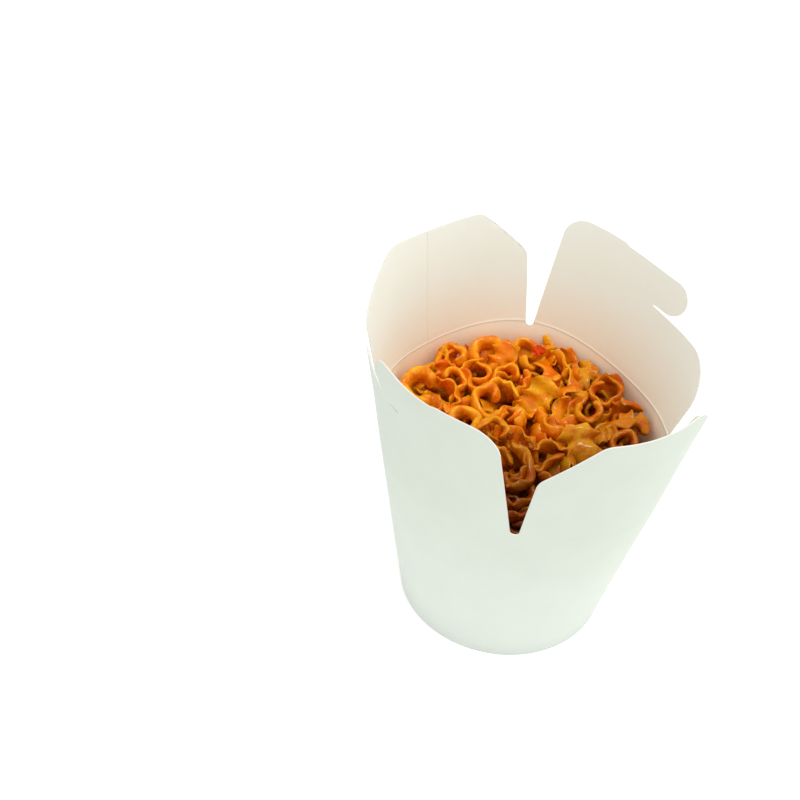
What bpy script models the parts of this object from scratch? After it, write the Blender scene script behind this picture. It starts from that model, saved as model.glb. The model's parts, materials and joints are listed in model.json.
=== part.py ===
"""Open noodle takeaway box of folded white board, filled with curled ribbon pasta.

Three pieces: the carton (a tapered round wall, its four top flaps and the hem folded in at
its foot), the recessed base cup held in that hem, and the heap of pasta.
Metres, +Z up. The origin is under the middle of the box, on the surface that it stands on.
+Y is the side away from the viewer; angles round the box run from +Y towards +X.
"""
import random
from math import cos, hypot, pi, radians, sin, sqrt

import bmesh
import bpy
import numpy as np
from mathutils import Euler, Matrix, Vector
from mathutils.geometry import delaunay_2d_cdt

# Board
BOARD = 0.0005
GAP = 0.0003

# Foot and mouth of the tapered wall, outer face
FOOT_RADIUS = 0.0457
MOUTH_RADIUS = 0.0632
FIRST_NOTCH = radians(4.3)
CREASE_HEIGHT = 0.0932
CREASE_WAVE = 0.0026
# How the soft mouth departs from a circle: waves round it, share of the radius, a crest's angle
MOUTH_WAVES = (
    (1, 0.0144, radians(-34)),
    (2, 0.0650, radians(-15)),
    (3, 0.0143, FIRST_NOTCH),
    (4, 0.0090, FIRST_NOTCH + radians(45)),
)
PANELS = 4
COLUMNS = 16
WALL_DROP = 0.096
HEM_RISE = 0.0057
HEM_FOLD = 3 * BOARD + 2 * GAP

# Flaps: height above the crease, sideways drift of their tops, and notches between them
FLAP_HEIGHT = 0.0545
FLAP_DRIFT = 0.0021
NOTCH_RADIUS = 0.0018
# Outward lean in degrees at each flap's start, middle and end, going round from the rear notch
FLAP_LEANS = ((8, 8.6, 15), (20, 7.5, 13.6), (14, 4, 13.4), (15.8, 7.7, 10.9))

# Plain flaps, tall trapeziums with clipped shoulders: how far in from the notch the top edge
# ends, and how high the side edge goes. The front flap's first shoulder is the lowest
PLAIN_SIDE_INSET = 0.0062
PLAIN_FRONT_SHOULDER = (0.0360, 0.0210)
PLAIN_REAR_SHOULDER = (0.0315, 0.0336)
PLAIN_LAST_SHOULDER = (0.0262, 0.0336)
PLAIN_SHOULDER_ROUND = 0.003

# Lock flap, with a tongue over a slit on the far half
LOCK_SIDE_INSET = 0.0062
LOCK_CORNER = 0.0098
LOCK_NICK_START = 0.031
LOCK_NICK_RUN = 0.0025
LOCK_NICK_DEPTH = 0.0008
SLIT_HEIGHT = 0.0381
SLIT_WIDTH = 0.0008
SLIT_ROOT = 0.052
TONGUE_REACH = 0.0667
LOCK_LOW_HEIGHT = 0.0364
LOCK_LOW_CORNER = 0.018
LOCK_FAR_INSET = 0.0003

# Base cup
CUP_FLOOR = 0.0068

# Pasta
HEAP_SEED = 26
FOOD_INSET = BOARD + 2 * GAP
HEAP_EDGE = 0.0830
HEAP_DOME = 0.0025
HEAP_FRONT_DIP = 0.0040
HEAP_BUMPS = (0.0010, 410, 370)
HEAP_RADIUS = 0.0600
RIBBON_INSET = 0.0045
CORE_RINGS = (1.0, 0.8, 0.55, 0.25)
CORE_COLUMN_STEP = 2
RIBBON_COUNT = 48
RIBBON_STEPS = 12
RIBBON_THICKNESS = 0.0018
RIBBON_SIZES = (0.9, 1.12)
SETTLE_ROUNDS = 12
SINK = 0.0026
STAND_PROUD = 0.0078
GOLDEN_ANGLE = pi * (3 - sqrt(5))

# Looks: colour and roughness
WHITE_BOARD = ((0.86, 0.87, 0.83), 0.55)
GREY_BOARD = ((0.80, 0.80, 0.76), 0.6)
TOMATO_PASTA = ((0.78, 0.26, 0.035), 0.4)
BOARD_EDGE_ANGLE = radians(30)
PASTA_EDGE_ANGLE = radians(35)

# Small numbers: a step of angle for a tangent, a nudge past a limit, and what counts as one point
ANGLE_STEP = 1e-4
NUDGE = 1e-4
SAME_POINT = 1e-5
SAME_FLAT_POINT = 1e-7
NO_LENGTH = 1e-6


# The mouth

def mouth_radius(theta):
    """Outer radius of the mouth, a slightly squared oval."""
    waves = sum(share * np.cos(count * (theta - crest)) for count, share, crest in MOUTH_WAVES)
    return MOUTH_RADIUS * (1 + waves)


def arc_table(samples=1440):
    """Angles from the first notch once round the mouth, and the length run along it at each."""
    angles = FIRST_NOTCH + np.linspace(0, 2 * pi, samples + 1)
    reach = mouth_radius(angles)
    steps = np.hypot(np.diff(reach * np.sin(angles)), np.diff(reach * np.cos(angles)))
    return angles, np.concatenate([[0.0], np.cumsum(steps)])


ANGLES, RUNS = arc_table()
PANEL = RUNS[-1] / PANELS


def angle_at(run):
    """Angle round the box of a point that lies run along the mouth from the first notch."""
    return float(np.interp(run, RUNS, ANGLES))


def run_at(theta):
    """Length run along the mouth from the first notch to an angle."""
    return float(np.interp((theta - FIRST_NOTCH) % (2 * pi), ANGLES - FIRST_NOTCH, RUNS))


def crease_height(run):
    """The crease is straight in the flat blank, so round the cone it peaks at the notches."""
    return CREASE_HEIGHT + CREASE_WAVE * cos(2 * pi * run / PANEL)


def wall_radius(theta, height):
    """Outer radius of the wall at a height."""
    share = height / crease_height(run_at(theta))
    return FOOT_RADIUS + (float(mouth_radius(theta)) - FOOT_RADIUS) * share


def around(theta, radius, height):
    """Point at an angle round the box, a radius and a height."""
    return Vector((radius * sin(theta), radius * cos(theta), height))


# The blank, mapped from the flat to its folded place

def flap_direction(run, theta):
    """Direction up a flap: square to the mouth in plan, leaning outwards by an eased angle."""
    before = around(theta - ANGLE_STEP, float(mouth_radius(theta - ANGLE_STEP)), 0)
    after = around(theta + ANGLE_STEP, float(mouth_radius(theta + ANGLE_STEP)), 0)
    along = (after - before).normalized()
    outward = Vector((-along.y, along.x, 0))
    panel = min(int(run / PANEL), PANELS - 1)
    share = run / PANEL - panel
    start, middle, end = (radians(lean) for lean in FLAP_LEANS[panel])
    lean = start * (1 - share) * (1 - 2 * share) + middle * 4 * share * (1 - share)
    lean += end * share * (2 * share - 1)
    drift = along * FLAP_DRIFT / FLAP_HEIGHT
    return outward * sin(lean) + Vector((0, 0, cos(lean))) + drift


def board_point(run, height):
    """Folded place of a blank point: run along the mouth, height above the crease."""
    theta = angle_at(run)
    crease = around(theta, float(mouth_radius(theta)), crease_height(run))
    if height >= 0:
        return crease + height * flap_direction(run, theta)
    if height >= -WALL_DROP:
        return crease.lerp(around(theta, FOOT_RADIUS, 0), -height / WALL_DROP)
    beyond = -height - WALL_DROP
    inset = min(beyond, HEM_FOLD)
    rise = beyond - inset
    return around(theta, wall_radius(theta, rise) - inset, rise)


# Outlines of the flaps

def arc(centre, radius, start, end, steps=5):
    """Points on an arc, angles in degrees from +run towards +height."""
    turns = [radians(start + (end - start) * i / steps) for i in range(steps + 1)]
    return [(centre[0] + radius * cos(t), centre[1] + radius * sin(t)) for t in turns]


def rounded(before, corner, after, radius, steps=3):
    """A corner between two straight edges, rounded by a short curve."""
    corner = Vector(corner)
    start = corner + (Vector(before) - corner).normalized() * radius
    end = corner + (Vector(after) - corner).normalized() * radius
    shares = [i / steps for i in range(steps + 1)]
    return [tuple(start * (1 - t) ** 2 + corner * 2 * t * (1 - t) + end * t * t) for t in shares]


def notch_half():
    """The second half of a notch's round bottom, and the first of a panel's outline."""
    return arc((0, 0), NOTCH_RADIUS, -90, 0, 3)


def plain_flap(first_shoulder):
    """Outline of a plain flap from its first notch to its second."""
    corners = [(NOTCH_RADIUS, 0),
               (PLAIN_SIDE_INSET, first_shoulder[1]),
               (first_shoulder[0], FLAP_HEIGHT),
               (PANEL - PLAIN_LAST_SHOULDER[0], FLAP_HEIGHT),
               (PANEL - PLAIN_SIDE_INSET, PLAIN_LAST_SHOULDER[1]),
               (PANEL - NOTCH_RADIUS, 0)]
    points = notch_half()
    for before, corner, after in zip(corners, corners[1:], corners[2:]):
        points += rounded(before, corner, after, PLAIN_SHOULDER_ROUND)
    return points + [(PANEL - x, y) for x, y in reversed(notch_half())]


def lock_flap():
    """Outline of a lock flap: round corner, nicked top edge, tongue, slit and low shoulder."""
    tongue = (FLAP_HEIGHT - LOCK_NICK_DEPTH - SLIT_HEIGHT) / 2
    tongue_centre = (TONGUE_REACH - tongue, SLIT_HEIGHT + tongue)
    low_centre = (PANEL - LOCK_FAR_INSET - LOCK_LOW_CORNER, LOCK_LOW_HEIGHT - LOCK_LOW_CORNER)
    corner_centre = (LOCK_SIDE_INSET + LOCK_CORNER, FLAP_HEIGHT - LOCK_CORNER)
    points = notch_half()
    points += arc(corner_centre, LOCK_CORNER, 180, 90)
    points.append((LOCK_NICK_START, FLAP_HEIGHT))
    points.append((LOCK_NICK_START + LOCK_NICK_RUN, FLAP_HEIGHT - LOCK_NICK_DEPTH))
    points += arc(tongue_centre, tongue, 90, -90, 9)
    points += arc((SLIT_ROOT, SLIT_HEIGHT - SLIT_WIDTH / 2), SLIT_WIDTH / 2, 90, 270, 2)
    points += arc(low_centre, LOCK_LOW_CORNER, 90, 0, 6)
    return points + [(PANEL - x, y) for x, y in reversed(notch_half())]


def subdivided(points, longest):
    """The same outline with no edge longer than a limit."""
    result = [points[0]]
    for (x0, y0), (x1, y1) in zip(points, points[1:]):
        length = hypot(x1 - x0, y1 - y0)
        if length < NO_LENGTH:
            continue
        count = max(1, round(length / longest))
        for i in range(1, count + 1):
            result.append((x0 + (x1 - x0) * i / count, y0 + (y1 - y0) * i / count))
    return result


def blank_outline(column, rows):
    """Closed outline of the whole blank, run from 0 to four panels."""
    lock = lock_flap()
    flaps = (lock, plain_flap(PLAIN_FRONT_SHOULDER), lock, plain_flap(PLAIN_REAR_SHOULDER))
    top = []
    for panel, flap in enumerate(flaps):
        shifted = [(x + panel * PANEL, y) for x, y in flap]
        top += shifted if not top else shifted[1:]
    top = subdivided(top, column)
    width = PANELS * PANEL
    right = [(width, y) for y in rows]
    bottom = [(width - i * column, rows[-1]) for i in range(1, PANELS * COLUMNS)]
    left = [(0.0, y) for y in reversed(rows)]
    return top + right + bottom + left


def inside(point, outline):
    """Whether a point lies in an outline."""
    x, y = point
    found = False
    for (x0, y0), (x1, y1) in zip(outline, outline[1:] + outline[:1]):
        if (y0 > y) != (y1 > y) and x < x0 + (y - y0) / (y1 - y0) * (x1 - x0):
            found = not found
    return found


def blank_mesh():
    """Triangles of the flat blank as (points, faces)."""
    column = PANEL / COLUMNS
    rows = [-WALL_DROP / 2, -WALL_DROP, -WALL_DROP - HEM_FOLD, -WALL_DROP - HEM_FOLD - HEM_RISE]
    outline = blank_outline(column, rows)
    points = list(outline)
    edges = [(i, (i + 1) % len(outline)) for i in range(len(outline))]
    clear = column / 4
    for height in (0.0, FLAP_HEIGHT / 3, FLAP_HEIGHT * 2 / 3, *rows[:-1]):
        inner = []
        for i in range(1, PANELS * COLUMNS):
            spot = (i * column, height)
            near = min(hypot(spot[0] - x, spot[1] - y) for x, y in outline)
            if near > clear and inside(spot, outline):
                inner.append((i, len(points)))
                points.append(spot)
        edges += [(a, b) for (i, a), (j, b) in zip(inner, inner[1:]) if height <= 0 and j == i + 1]
    made = delaunay_2d_cdt([Vector(p) for p in points], edges, [], 0, SAME_FLAT_POINT)
    flat, faces = made[0], made[2]
    kept = []
    for face in faces:
        middle = sum((flat[i] for i in face), Vector((0, 0))) / 3
        if inside(middle, outline):
            kept.append(face)
    return flat, kept


# Materials and objects

def material(name, look):
    """A plain Principled material."""
    colour, roughness = look
    made = bpy.data.materials.new(name)
    made.use_nodes = True
    shader = made.node_tree.nodes["Principled BSDF"]
    shader.inputs["Base Color"].default_value = (*colour, 1)
    shader.inputs["Roughness"].default_value = roughness
    return made


def new_object(name, bm, collection, finish=None):
    """Link an object made from a bmesh."""
    mesh = bpy.data.meshes.new(name)
    bm.to_mesh(mesh)
    bm.free()
    made = bpy.data.objects.new(name, mesh)
    collection.objects.link(made)
    if finish:
        mesh.materials.append(finish)
    return made


def thicken(target, thickness, offset):
    """Give an open surface its thickness."""
    solid = target.modifiers.new("thickness", "SOLIDIFY")
    solid.thickness = thickness
    solid.offset = offset
    solid.use_even_offset = True


def smooth(target, angle):
    """Shade smooth except at sharp edges."""
    target.data.shade_smooth()
    target.data.set_sharp_from_angle(angle=angle)


def make_carton(collection):
    """Wall, flaps and hem: one sheet of board, folded up and thickened inwards."""
    flat, faces = blank_mesh()
    bm = bmesh.new()
    corners = [bm.verts.new(board_point(point.x, point.y)) for point in flat]
    for face in faces:
        bm.faces.new([corners[i] for i in face])
    bmesh.ops.remove_doubles(bm, verts=bm.verts, dist=SAME_POINT)
    bmesh.ops.recalc_face_normals(bm, faces=bm.faces)
    high = max(bm.faces, key=lambda face: face.calc_center_median().z)
    spot = high.calc_center_median()
    if high.normal.dot(Vector((spot.x, spot.y, 0))) < 0:
        bmesh.ops.reverse_faces(bm, faces=bm.faces)
    carton = new_object("carton", bm, collection, material("white board", WHITE_BOARD))
    thicken(carton, BOARD, -1)
    smooth(carton, BOARD_EDGE_ANGLE)
    return carton


def ring_angles(step):
    """Angles of every step-th column of the blank, once round the box."""
    return [angle_at(i * PANEL / COLUMNS) for i in range(0, PANELS * COLUMNS, step)]


def level_ring(bm, height, inset, angles):
    """A closed level ring of vertices, a little inside the wall's outer face."""
    return [bm.verts.new(around(a, wall_radius(a, height) - inset, height)) for a in angles]


def bridge(bm, lower, upper):
    """Faces between two rings that run the same way; they point out where lower is below."""
    for i, vertex in enumerate(lower):
        j = (i + 1) % len(lower)
        bm.faces.new((vertex, upper[i], upper[j], lower[j]))


def make_base(collection):
    """Base cup, turned upside down in the foot: a disc with a skirt that stands in the hem."""
    angles = ring_angles(1)
    bm = bmesh.new()
    low = level_ring(bm, BOARD + GAP, BOARD + GAP, angles)
    high = level_ring(bm, CUP_FLOOR, BOARD + GAP, angles)
    bridge(bm, low, high)
    bm.faces.new(list(reversed(high)))
    bmesh.ops.poke(bm, faces=[face for face in bm.faces if len(face.verts) > 4])
    bmesh.ops.recalc_face_normals(bm, faces=bm.faces)
    top = max(bm.faces, key=lambda face: face.calc_center_median().z)
    if top.normal.z < 0:
        bmesh.ops.reverse_faces(bm, faces=bm.faces)
    base = new_object("base", bm, collection, material("grey board", GREY_BOARD))
    thicken(base, BOARD, -1)
    smooth(base, BOARD_EDGE_ANGLE)
    return base


# Pasta

def heap_level(x, y):
    """Height of the core of the heap: a low dome, lower at the front, with shallow bumps."""
    share = min(1.0, hypot(x, y) / HEAP_RADIUS)
    level = HEAP_EDGE + HEAP_DOME * (1 - share * share) + HEAP_FRONT_DIP * min(0.0, y) / HEAP_RADIUS
    depth, across, along = HEAP_BUMPS
    return level + depth * (sin(x * across) + cos(y * along))


def food_radius(theta, height):
    """Radius that the food fills at a height, clear of the carton's inner face."""
    crease = crease_height(run_at(theta))
    return wall_radius(theta, min(height, crease)) - FOOD_INSET


def heap_ring(bm, share, angles):
    """A closed ring of vertices on top of the core, at a share of the way out to the wall."""
    corners = []
    for theta in angles:
        reach = food_radius(theta, HEAP_EDGE) * share
        level = heap_level(reach * sin(theta), reach * cos(theta))
        corners.append(bm.verts.new(around(theta, food_radius(theta, level) * share, level)))
    return corners


def make_core(collection):
    """Core of the heap, from the base cup up to under the pieces that show."""
    angles = ring_angles(CORE_COLUMN_STEP)
    bm = bmesh.new()
    rings = [level_ring(bm, CUP_FLOOR + GAP, FOOD_INSET, angles)]
    rings += [heap_ring(bm, share, angles) for share in CORE_RINGS]
    for lower, upper in zip(rings, rings[1:]):
        bridge(bm, lower, upper)
    bm.faces.new(rings[0])
    bm.faces.new(list(reversed(rings[-1])))
    bmesh.ops.poke(bm, faces=[face for face in bm.faces if len(face.verts) > 4])
    bmesh.ops.triangulate(bm, faces=bm.faces)
    bmesh.ops.recalc_face_normals(bm, faces=bm.faces)
    return new_object("pasta", bm, collection, material("tomato pasta", TOMATO_PASTA))


# Kinds of ribbon: length, width, total turn and swing of its heading in degrees,
# sideways climb, ruffle depth, ruffles, and how much its edges widen into points
RIBBONS = {
    "hoop": (0.031, 0.0068, 330, 0, 0.0045, 0.0007, 4, 0.10),
    "curl": (0.030, 0.0070, 40, 120, 0.0010, 0.0008, 5, 0.12),
    "frill": (0.024, 0.0100, 95, 25, 0.0000, 0.0016, 3, 0.28),
    "elbow": (0.021, 0.0075, 200, 0, 0.0000, 0.0006, 3, 0.10),
}
MIX = ("hoop", "curl", "frill", "hoop", "elbow", "curl")


def ribbon_points(kind, steps, draw):
    """Points of a curled ribbon by (step, side), and a size that varies from piece to piece."""
    length, width, turn, swing, climb, ruffle, waves, points = RIBBONS[kind]
    scale = draw.uniform(*RIBBON_SIZES)
    phase = draw.uniform(0, 2 * pi)
    place = Vector((0, 0, 0))
    rows = []
    for i in range(steps + 1):
        share = i / steps
        heading = radians(turn) * share + radians(swing) * sin(2 * pi * share)
        ahead = Vector((cos(heading), 0, sin(heading)))
        across = Vector((-sin(heading), 0, cos(heading)))
        if i:
            place = place + ahead * length / steps
        row = []
        for side in (-1, 0, 1):
            wave = sin(2 * pi * waves * share + phase * side)
            half = width / 2 * (1 + points * wave)
            lift = ruffle * wave * abs(side)
            row.append(place + across * lift + Vector((0, side * half + climb * share, 0)))
        rows.append(row)
    middle = sum((p for row in rows for p in row), Vector()) / (3 * len(rows))
    return [[(p - middle) * scale for p in row] for row in rows]


def settle(points, spot):
    """Set a turned ribbon down at a spot on the core, and pull it in until it clears the wall."""
    centre = Vector((spot[0], spot[1], 0))
    lowest = min(p.z for p in points)
    highest = max(p.z for p in points)
    for _ in range(SETTLE_ROUNDS):
        level = heap_level(centre.x, centre.y)
        centre.z = min(level - SINK - lowest, level + STAND_PROUD - highest)
        worst = 0.0
        for p in points:
            q = p + centre
            theta = np.arctan2(q.x, q.y)
            limit = food_radius(theta, q.z) - RIBBON_THICKNESS / 2 - GAP
            worst = max(worst, hypot(q.x, q.y) - limit)
        if worst <= 0:
            break
        flat = Vector((centre.x, centre.y, 0))
        centre -= flat.normalized() * (worst + NUDGE)
    return [p + centre for p in points]


def ribbon_turn(kind, draw):
    """How a ribbon lies: rings on their sides, showing their holes, and the rest face up."""
    heading = draw.uniform(0, 2 * pi)
    if kind in ("hoop", "elbow"):
        return Euler((radians(draw.uniform(35, 85)), draw.uniform(0, 2 * pi), heading), "YXZ")
    spin = draw.choice((0, pi)) + radians(draw.uniform(-20, 20))
    return Euler((radians(draw.uniform(-35, 35)), spin, heading), "YXZ")


def make_ribbon(number, draw, collection):
    """One curled ribbon, at its place on a spiral that spreads them evenly over the heap."""
    kind = MIX[number % len(MIX)]
    rows = ribbon_points(kind, RIBBON_STEPS, draw)
    rotation = ribbon_turn(kind, draw).to_matrix()
    points = [rotation @ p for row in rows for p in row]
    theta = number * GOLDEN_ANGLE
    widest = food_radius(theta, HEAP_EDGE) - RIBBON_INSET
    reach = widest * sqrt((number + 0.5) / RIBBON_COUNT)
    points = settle(points, (reach * sin(theta), reach * cos(theta)))
    bm = bmesh.new()
    bmesh.ops.create_grid(bm, x_segments=2, y_segments=RIBBON_STEPS, size=1)
    for vertex, point in zip(bm.verts, points):
        vertex.co = point
    piece = new_object("ribbon", bm, collection)
    thicken(piece, RIBBON_THICKNESS, 0)
    return piece


def largest_body(mesh):
    """Keep the largest closed body of a mesh, dropping scraps and sealed hollows."""
    bm = bmesh.new()
    bm.from_mesh(mesh)
    left = set(bm.verts)
    bodies = []
    while left:
        stack = [left.pop()]
        body = set(stack)
        while stack:
            for edge in stack.pop().link_edges:
                for vertex in edge.verts:
                    if vertex in left:
                        left.remove(vertex)
                        body.add(vertex)
                        stack.append(vertex)
        bodies.append(body)
    main = max(bodies, key=len)
    bmesh.ops.delete(bm, geom=[v for v in bm.verts if v not in main], context="VERTS")
    bmesh.ops.triangulate(bm, faces=bm.faces)
    bm.to_mesh(mesh)
    bm.free()


def make_pasta(collection, pieces):
    """The heap: its core with the ribbons that show fused on."""
    draw = random.Random(HEAP_SEED)
    core = make_core(collection)
    for number in range(RIBBON_COUNT):
        make_ribbon(number, draw, pieces)
    union = core.modifiers.new("fuse ribbons", "BOOLEAN")
    union.operation = "UNION"
    union.operand_type = "COLLECTION"
    union.collection = pieces
    bpy.context.view_layer.update()
    evaluated = core.evaluated_get(bpy.context.evaluated_depsgraph_get())
    fused = bpy.data.meshes.new_from_object(evaluated)
    core.modifiers.remove(union)
    largest_body(fused)
    fused.name = "pasta"
    core.data = fused
    for piece in list(pieces.objects):
        bpy.data.objects.remove(piece)
    smooth(core, PASTA_EDGE_ANGLE)
    return core


def centre_on_carton(objects):
    """Move the origin under the middle of the carton's outline, flaps included."""
    bpy.context.view_layer.update()
    corners = [Vector(corner) for corner in bpy.data.objects["carton"].bound_box]
    middle = sum(corners, Vector()) / len(corners)
    for item in objects:
        item.data.transform(Matrix.Translation((-middle.x, -middle.y, 0)))


def main():
    for old in list(bpy.data.objects):
        bpy.data.objects.remove(old)
    box = bpy.data.collections.new("noodle takeaway box")
    pieces = bpy.data.collections.new("ribbons")
    bpy.context.scene.collection.children.link(box)
    bpy.context.scene.collection.children.link(pieces)
    make_carton(box)
    make_base(box)
    make_pasta(box, pieces)
    bpy.data.collections.remove(pieces)
    centre_on_carton(box.objects)


main()
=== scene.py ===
"""Looks of an open noodle takeaway box: a folded carton of white board, full of curled pasta.

Laid out as an add-on and run as a script. Metres, +Z up, +Y away from the viewer.
Angles round the box run from +Y towards +X. On the board, run is the length along the
mouth from the rear notch, and height is measured up the sheet from the fold line.
"""

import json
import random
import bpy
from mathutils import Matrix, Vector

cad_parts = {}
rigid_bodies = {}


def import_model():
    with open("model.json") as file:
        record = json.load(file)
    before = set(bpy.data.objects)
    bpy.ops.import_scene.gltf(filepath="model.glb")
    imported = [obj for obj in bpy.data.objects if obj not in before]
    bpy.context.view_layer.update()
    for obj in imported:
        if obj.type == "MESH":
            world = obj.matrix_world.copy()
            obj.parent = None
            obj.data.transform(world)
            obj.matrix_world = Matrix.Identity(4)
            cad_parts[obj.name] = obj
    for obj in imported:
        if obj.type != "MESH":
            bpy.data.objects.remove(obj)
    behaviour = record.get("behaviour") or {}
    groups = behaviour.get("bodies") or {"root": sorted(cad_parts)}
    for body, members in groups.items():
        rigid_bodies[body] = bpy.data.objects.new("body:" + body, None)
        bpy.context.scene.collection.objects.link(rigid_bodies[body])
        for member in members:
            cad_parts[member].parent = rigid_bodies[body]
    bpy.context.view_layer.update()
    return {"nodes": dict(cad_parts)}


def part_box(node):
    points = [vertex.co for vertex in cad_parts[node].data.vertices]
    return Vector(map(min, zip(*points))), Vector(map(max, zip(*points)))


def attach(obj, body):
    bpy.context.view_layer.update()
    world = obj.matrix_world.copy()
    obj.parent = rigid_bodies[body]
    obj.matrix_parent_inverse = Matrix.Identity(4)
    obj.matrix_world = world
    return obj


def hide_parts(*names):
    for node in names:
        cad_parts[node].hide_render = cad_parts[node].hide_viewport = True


bl_info = {
    "name": "Noodle Takeaway Box",
    "version": (1, 0, 0),
    "blender": (4, 5, 0),
    "location": "View3D > Sidebar > Takeaway",
    "description": "Finishes an open board takeaway box and heaps it with curled ribbon pasta",
    "category": "Object",
}

from functools import partial
from math import cos, hypot, pi, radians, sin, sqrt
from typing import NamedTuple

import bmesh
import bpy
import numpy as np
from bpy.props import FloatProperty, FloatVectorProperty, IntProperty, PointerProperty
from mathutils import Matrix, Vector
from mathutils.geometry import delaunay_2d_cdt

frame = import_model()

# Board, as in the solids
BOARD = 0.0005
GAP = 0.0003
FOOT_RADIUS = 0.0457
MOUTH_RADIUS = 0.0632
FIRST_NOTCH = radians(4.3)
CREASE_HEIGHT = 0.0932
CREASE_WAVE = 0.0026
MOUTH_WAVES = (
    (1, 0.0144, radians(-34)),
    (2, 0.0650, radians(-15)),
    (3, 0.0143, FIRST_NOTCH),
    (4, 0.0090, FIRST_NOTCH + radians(45)),
)
PANELS = 4
WALL_DROP = 0.096
HEM_RISE = 0.0057
HEM_FOLD = 3 * BOARD + 2 * GAP
FLAP_HEIGHT = 0.0545
FLAP_DRIFT = 0.0021
NOTCH_RADIUS = 0.0018
FLAP_LEANS = ((8, 8.6, 15), (20, 7.5, 13.6), (14, 4, 13.4), (15.8, 7.7, 10.9))
PLAIN_SIDE_INSET = 0.0062
PLAIN_FRONT_SHOULDER = (0.0360, 0.0210)
PLAIN_REAR_SHOULDER = (0.0315, 0.0336)
PLAIN_LAST_SHOULDER = (0.0262, 0.0336)
PLAIN_SHOULDER_ROUND = 0.003
LOCK_SIDE_INSET = 0.0062
LOCK_CORNER = 0.0098
LOCK_NICK_START = 0.031
LOCK_NICK_RUN = 0.0025
LOCK_NICK_DEPTH = 0.0008
SLIT_HEIGHT = 0.0381
SLIT_WIDTH = 0.0008
SLIT_ROOT = 0.052
TONGUE_REACH = 0.0667
LOCK_LOW_HEIGHT = 0.0364
LOCK_LOW_CORNER = 0.018
LOCK_FAR_INSET = 0.0003

# The board's materials, in the order of its material slots
OUTSIDE, INSIDE, CUT, RAW = range(4)

# Board, finer than in the solids
FINE_COLUMNS = 64
WALL_ROWS = 24
FLAP_ROW = 0.0017
WALL_TOP = -0.0026
RIDGE_WIDTH = 0.0004
RIDGE_ROWS = (-0.0011, -0.0006, -0.0003, 0.0, 0.0003, 0.0006, 0.0011)
SEAM_EDGE = 0.00005
TONGUE_LIFT = 0.0011
TONGUE_BEND = 1.5
TONGUE_END = 1.2
WIDEST = 1.03  # share of the fold line's height up to which the wall widens
HEM_FOLD_ROWS = (0.3, 0.7, 1.0)
HEM_ROWS = (0.2, 1.0)
SHARP_ANGLE = radians(40)
MERGE = 2e-6
SHORTEST = 1e-6
TOLERANCE = 1e-9

# Heap of pasta: its level, and the bed under the pieces
PILE_EDGE = 0.0865
PILE_DOME = 0.0025
PILE_DIP = 0.0040
PILE_RADIUS = 0.060
BED_DEPTH = 0.0105
BED_SIDES = 96
BED_WAIST = 0.04
BED_REACHES = np.linspace(1.0, 0.04, 26)
BED_LUMP = 0.0012
BED_WAVES = ((700, 300), (650, 280))

# Layers of pieces: how far under the heap's level they start, and how far they may rise
LOWER_DEPTH = 0.0055
LOWER_RISE = 0.002
GAP_DEPTH = 0.0015
GAP_RISE = 0.0005

# How pieces are dropped: percentiles, lengths, and ranges of degrees and sizes
MAP_CELL = 0.001
MAP_HALF = 70
MAP_MARGIN = 0.003
LOW_SPOTS = 0.0012
WALL_CLEAR = 0.0004
NESTLE = 85
TOPS = 97
PRESS = 0.0008
TRIES = 4
LEANS = (-40, 50)
TIPS = (-35, 35)
SPINS = (0, 360)
SIZES = (0.85, 1.1)
IN_PLAN = (1, 1, 0)

# Camera, from the middle of the foot, fitted to the photograph
CAMERA_PLACE = Vector((-0.0510, -0.3754, 0.4245))
CAMERA_PITCH = radians(40.7)
CAMERA_ROLL = radians(3.75)
CAMERA_LENS = 54.9
CAMERA_SENSOR = 36.0
FRAME_PIXELS = 800


# The board, mapped from the flat blank to its folded place

def mouth_radius(theta):
    """Outer radius of the mouth at angles round the box."""
    waves = sum(share * np.cos(count * (theta - crest)) for count, share, crest in MOUTH_WAVES)
    return MOUTH_RADIUS * (1 + waves)


def arc_table(samples=2880):
    """Angles from the first notch once round the mouth, and the length run along it at each."""
    angles = FIRST_NOTCH + np.linspace(0, 2 * pi, samples + 1)
    reach = mouth_radius(angles)
    steps = np.hypot(np.diff(reach * np.sin(angles)), np.diff(reach * np.cos(angles)))
    return angles, np.concatenate([[0.0], np.cumsum(steps)])


ANGLES, RUNS = arc_table()
PANEL = RUNS[-1] / PANELS
SEAM = 3.5 * PANEL


def run_at(theta):
    """Length run along the mouth from the first notch to angles."""
    return np.interp((theta - FIRST_NOTCH) % (2 * pi), ANGLES - FIRST_NOTCH, RUNS)


def crease_height(run):
    """The fold line is straight in the flat blank, so round the cone it peaks at the notches."""
    return CREASE_HEIGHT + CREASE_WAVE * np.cos(2 * pi * run / PANEL)


def around(theta, radius, height):
    """Points at angles round the box, at a radius and a height."""
    return np.stack([radius * np.sin(theta), radius * np.cos(theta), height + 0 * theta], -1)


def flap_direction(run, theta):
    """Direction up a flap: square to the mouth in plan, leaning outwards by an eased angle."""
    step = 1e-4
    along = around(theta + step, mouth_radius(theta + step), 0)
    along -= around(theta - step, mouth_radius(theta - step), 0)
    along /= np.linalg.norm(along, axis=-1, keepdims=True)
    outward = np.stack([-along[:, 1], along[:, 0], 0 * theta], -1)
    panel = np.clip((run / PANEL).astype(int), 0, PANELS - 1)
    share = run / PANEL - panel
    start, middle, end = np.radians(np.array(FLAP_LEANS))[panel].T
    lean = start * (1 - share) * (1 - 2 * share) + middle * 4 * share * (1 - share)
    lean += end * share * (2 * share - 1)
    upright = np.array([0.0, 0.0, 1.0])
    direction = outward * np.sin(lean)[:, None] + upright * np.cos(lean)[:, None]
    return direction + along * FLAP_DRIFT / FLAP_HEIGHT, outward


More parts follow.
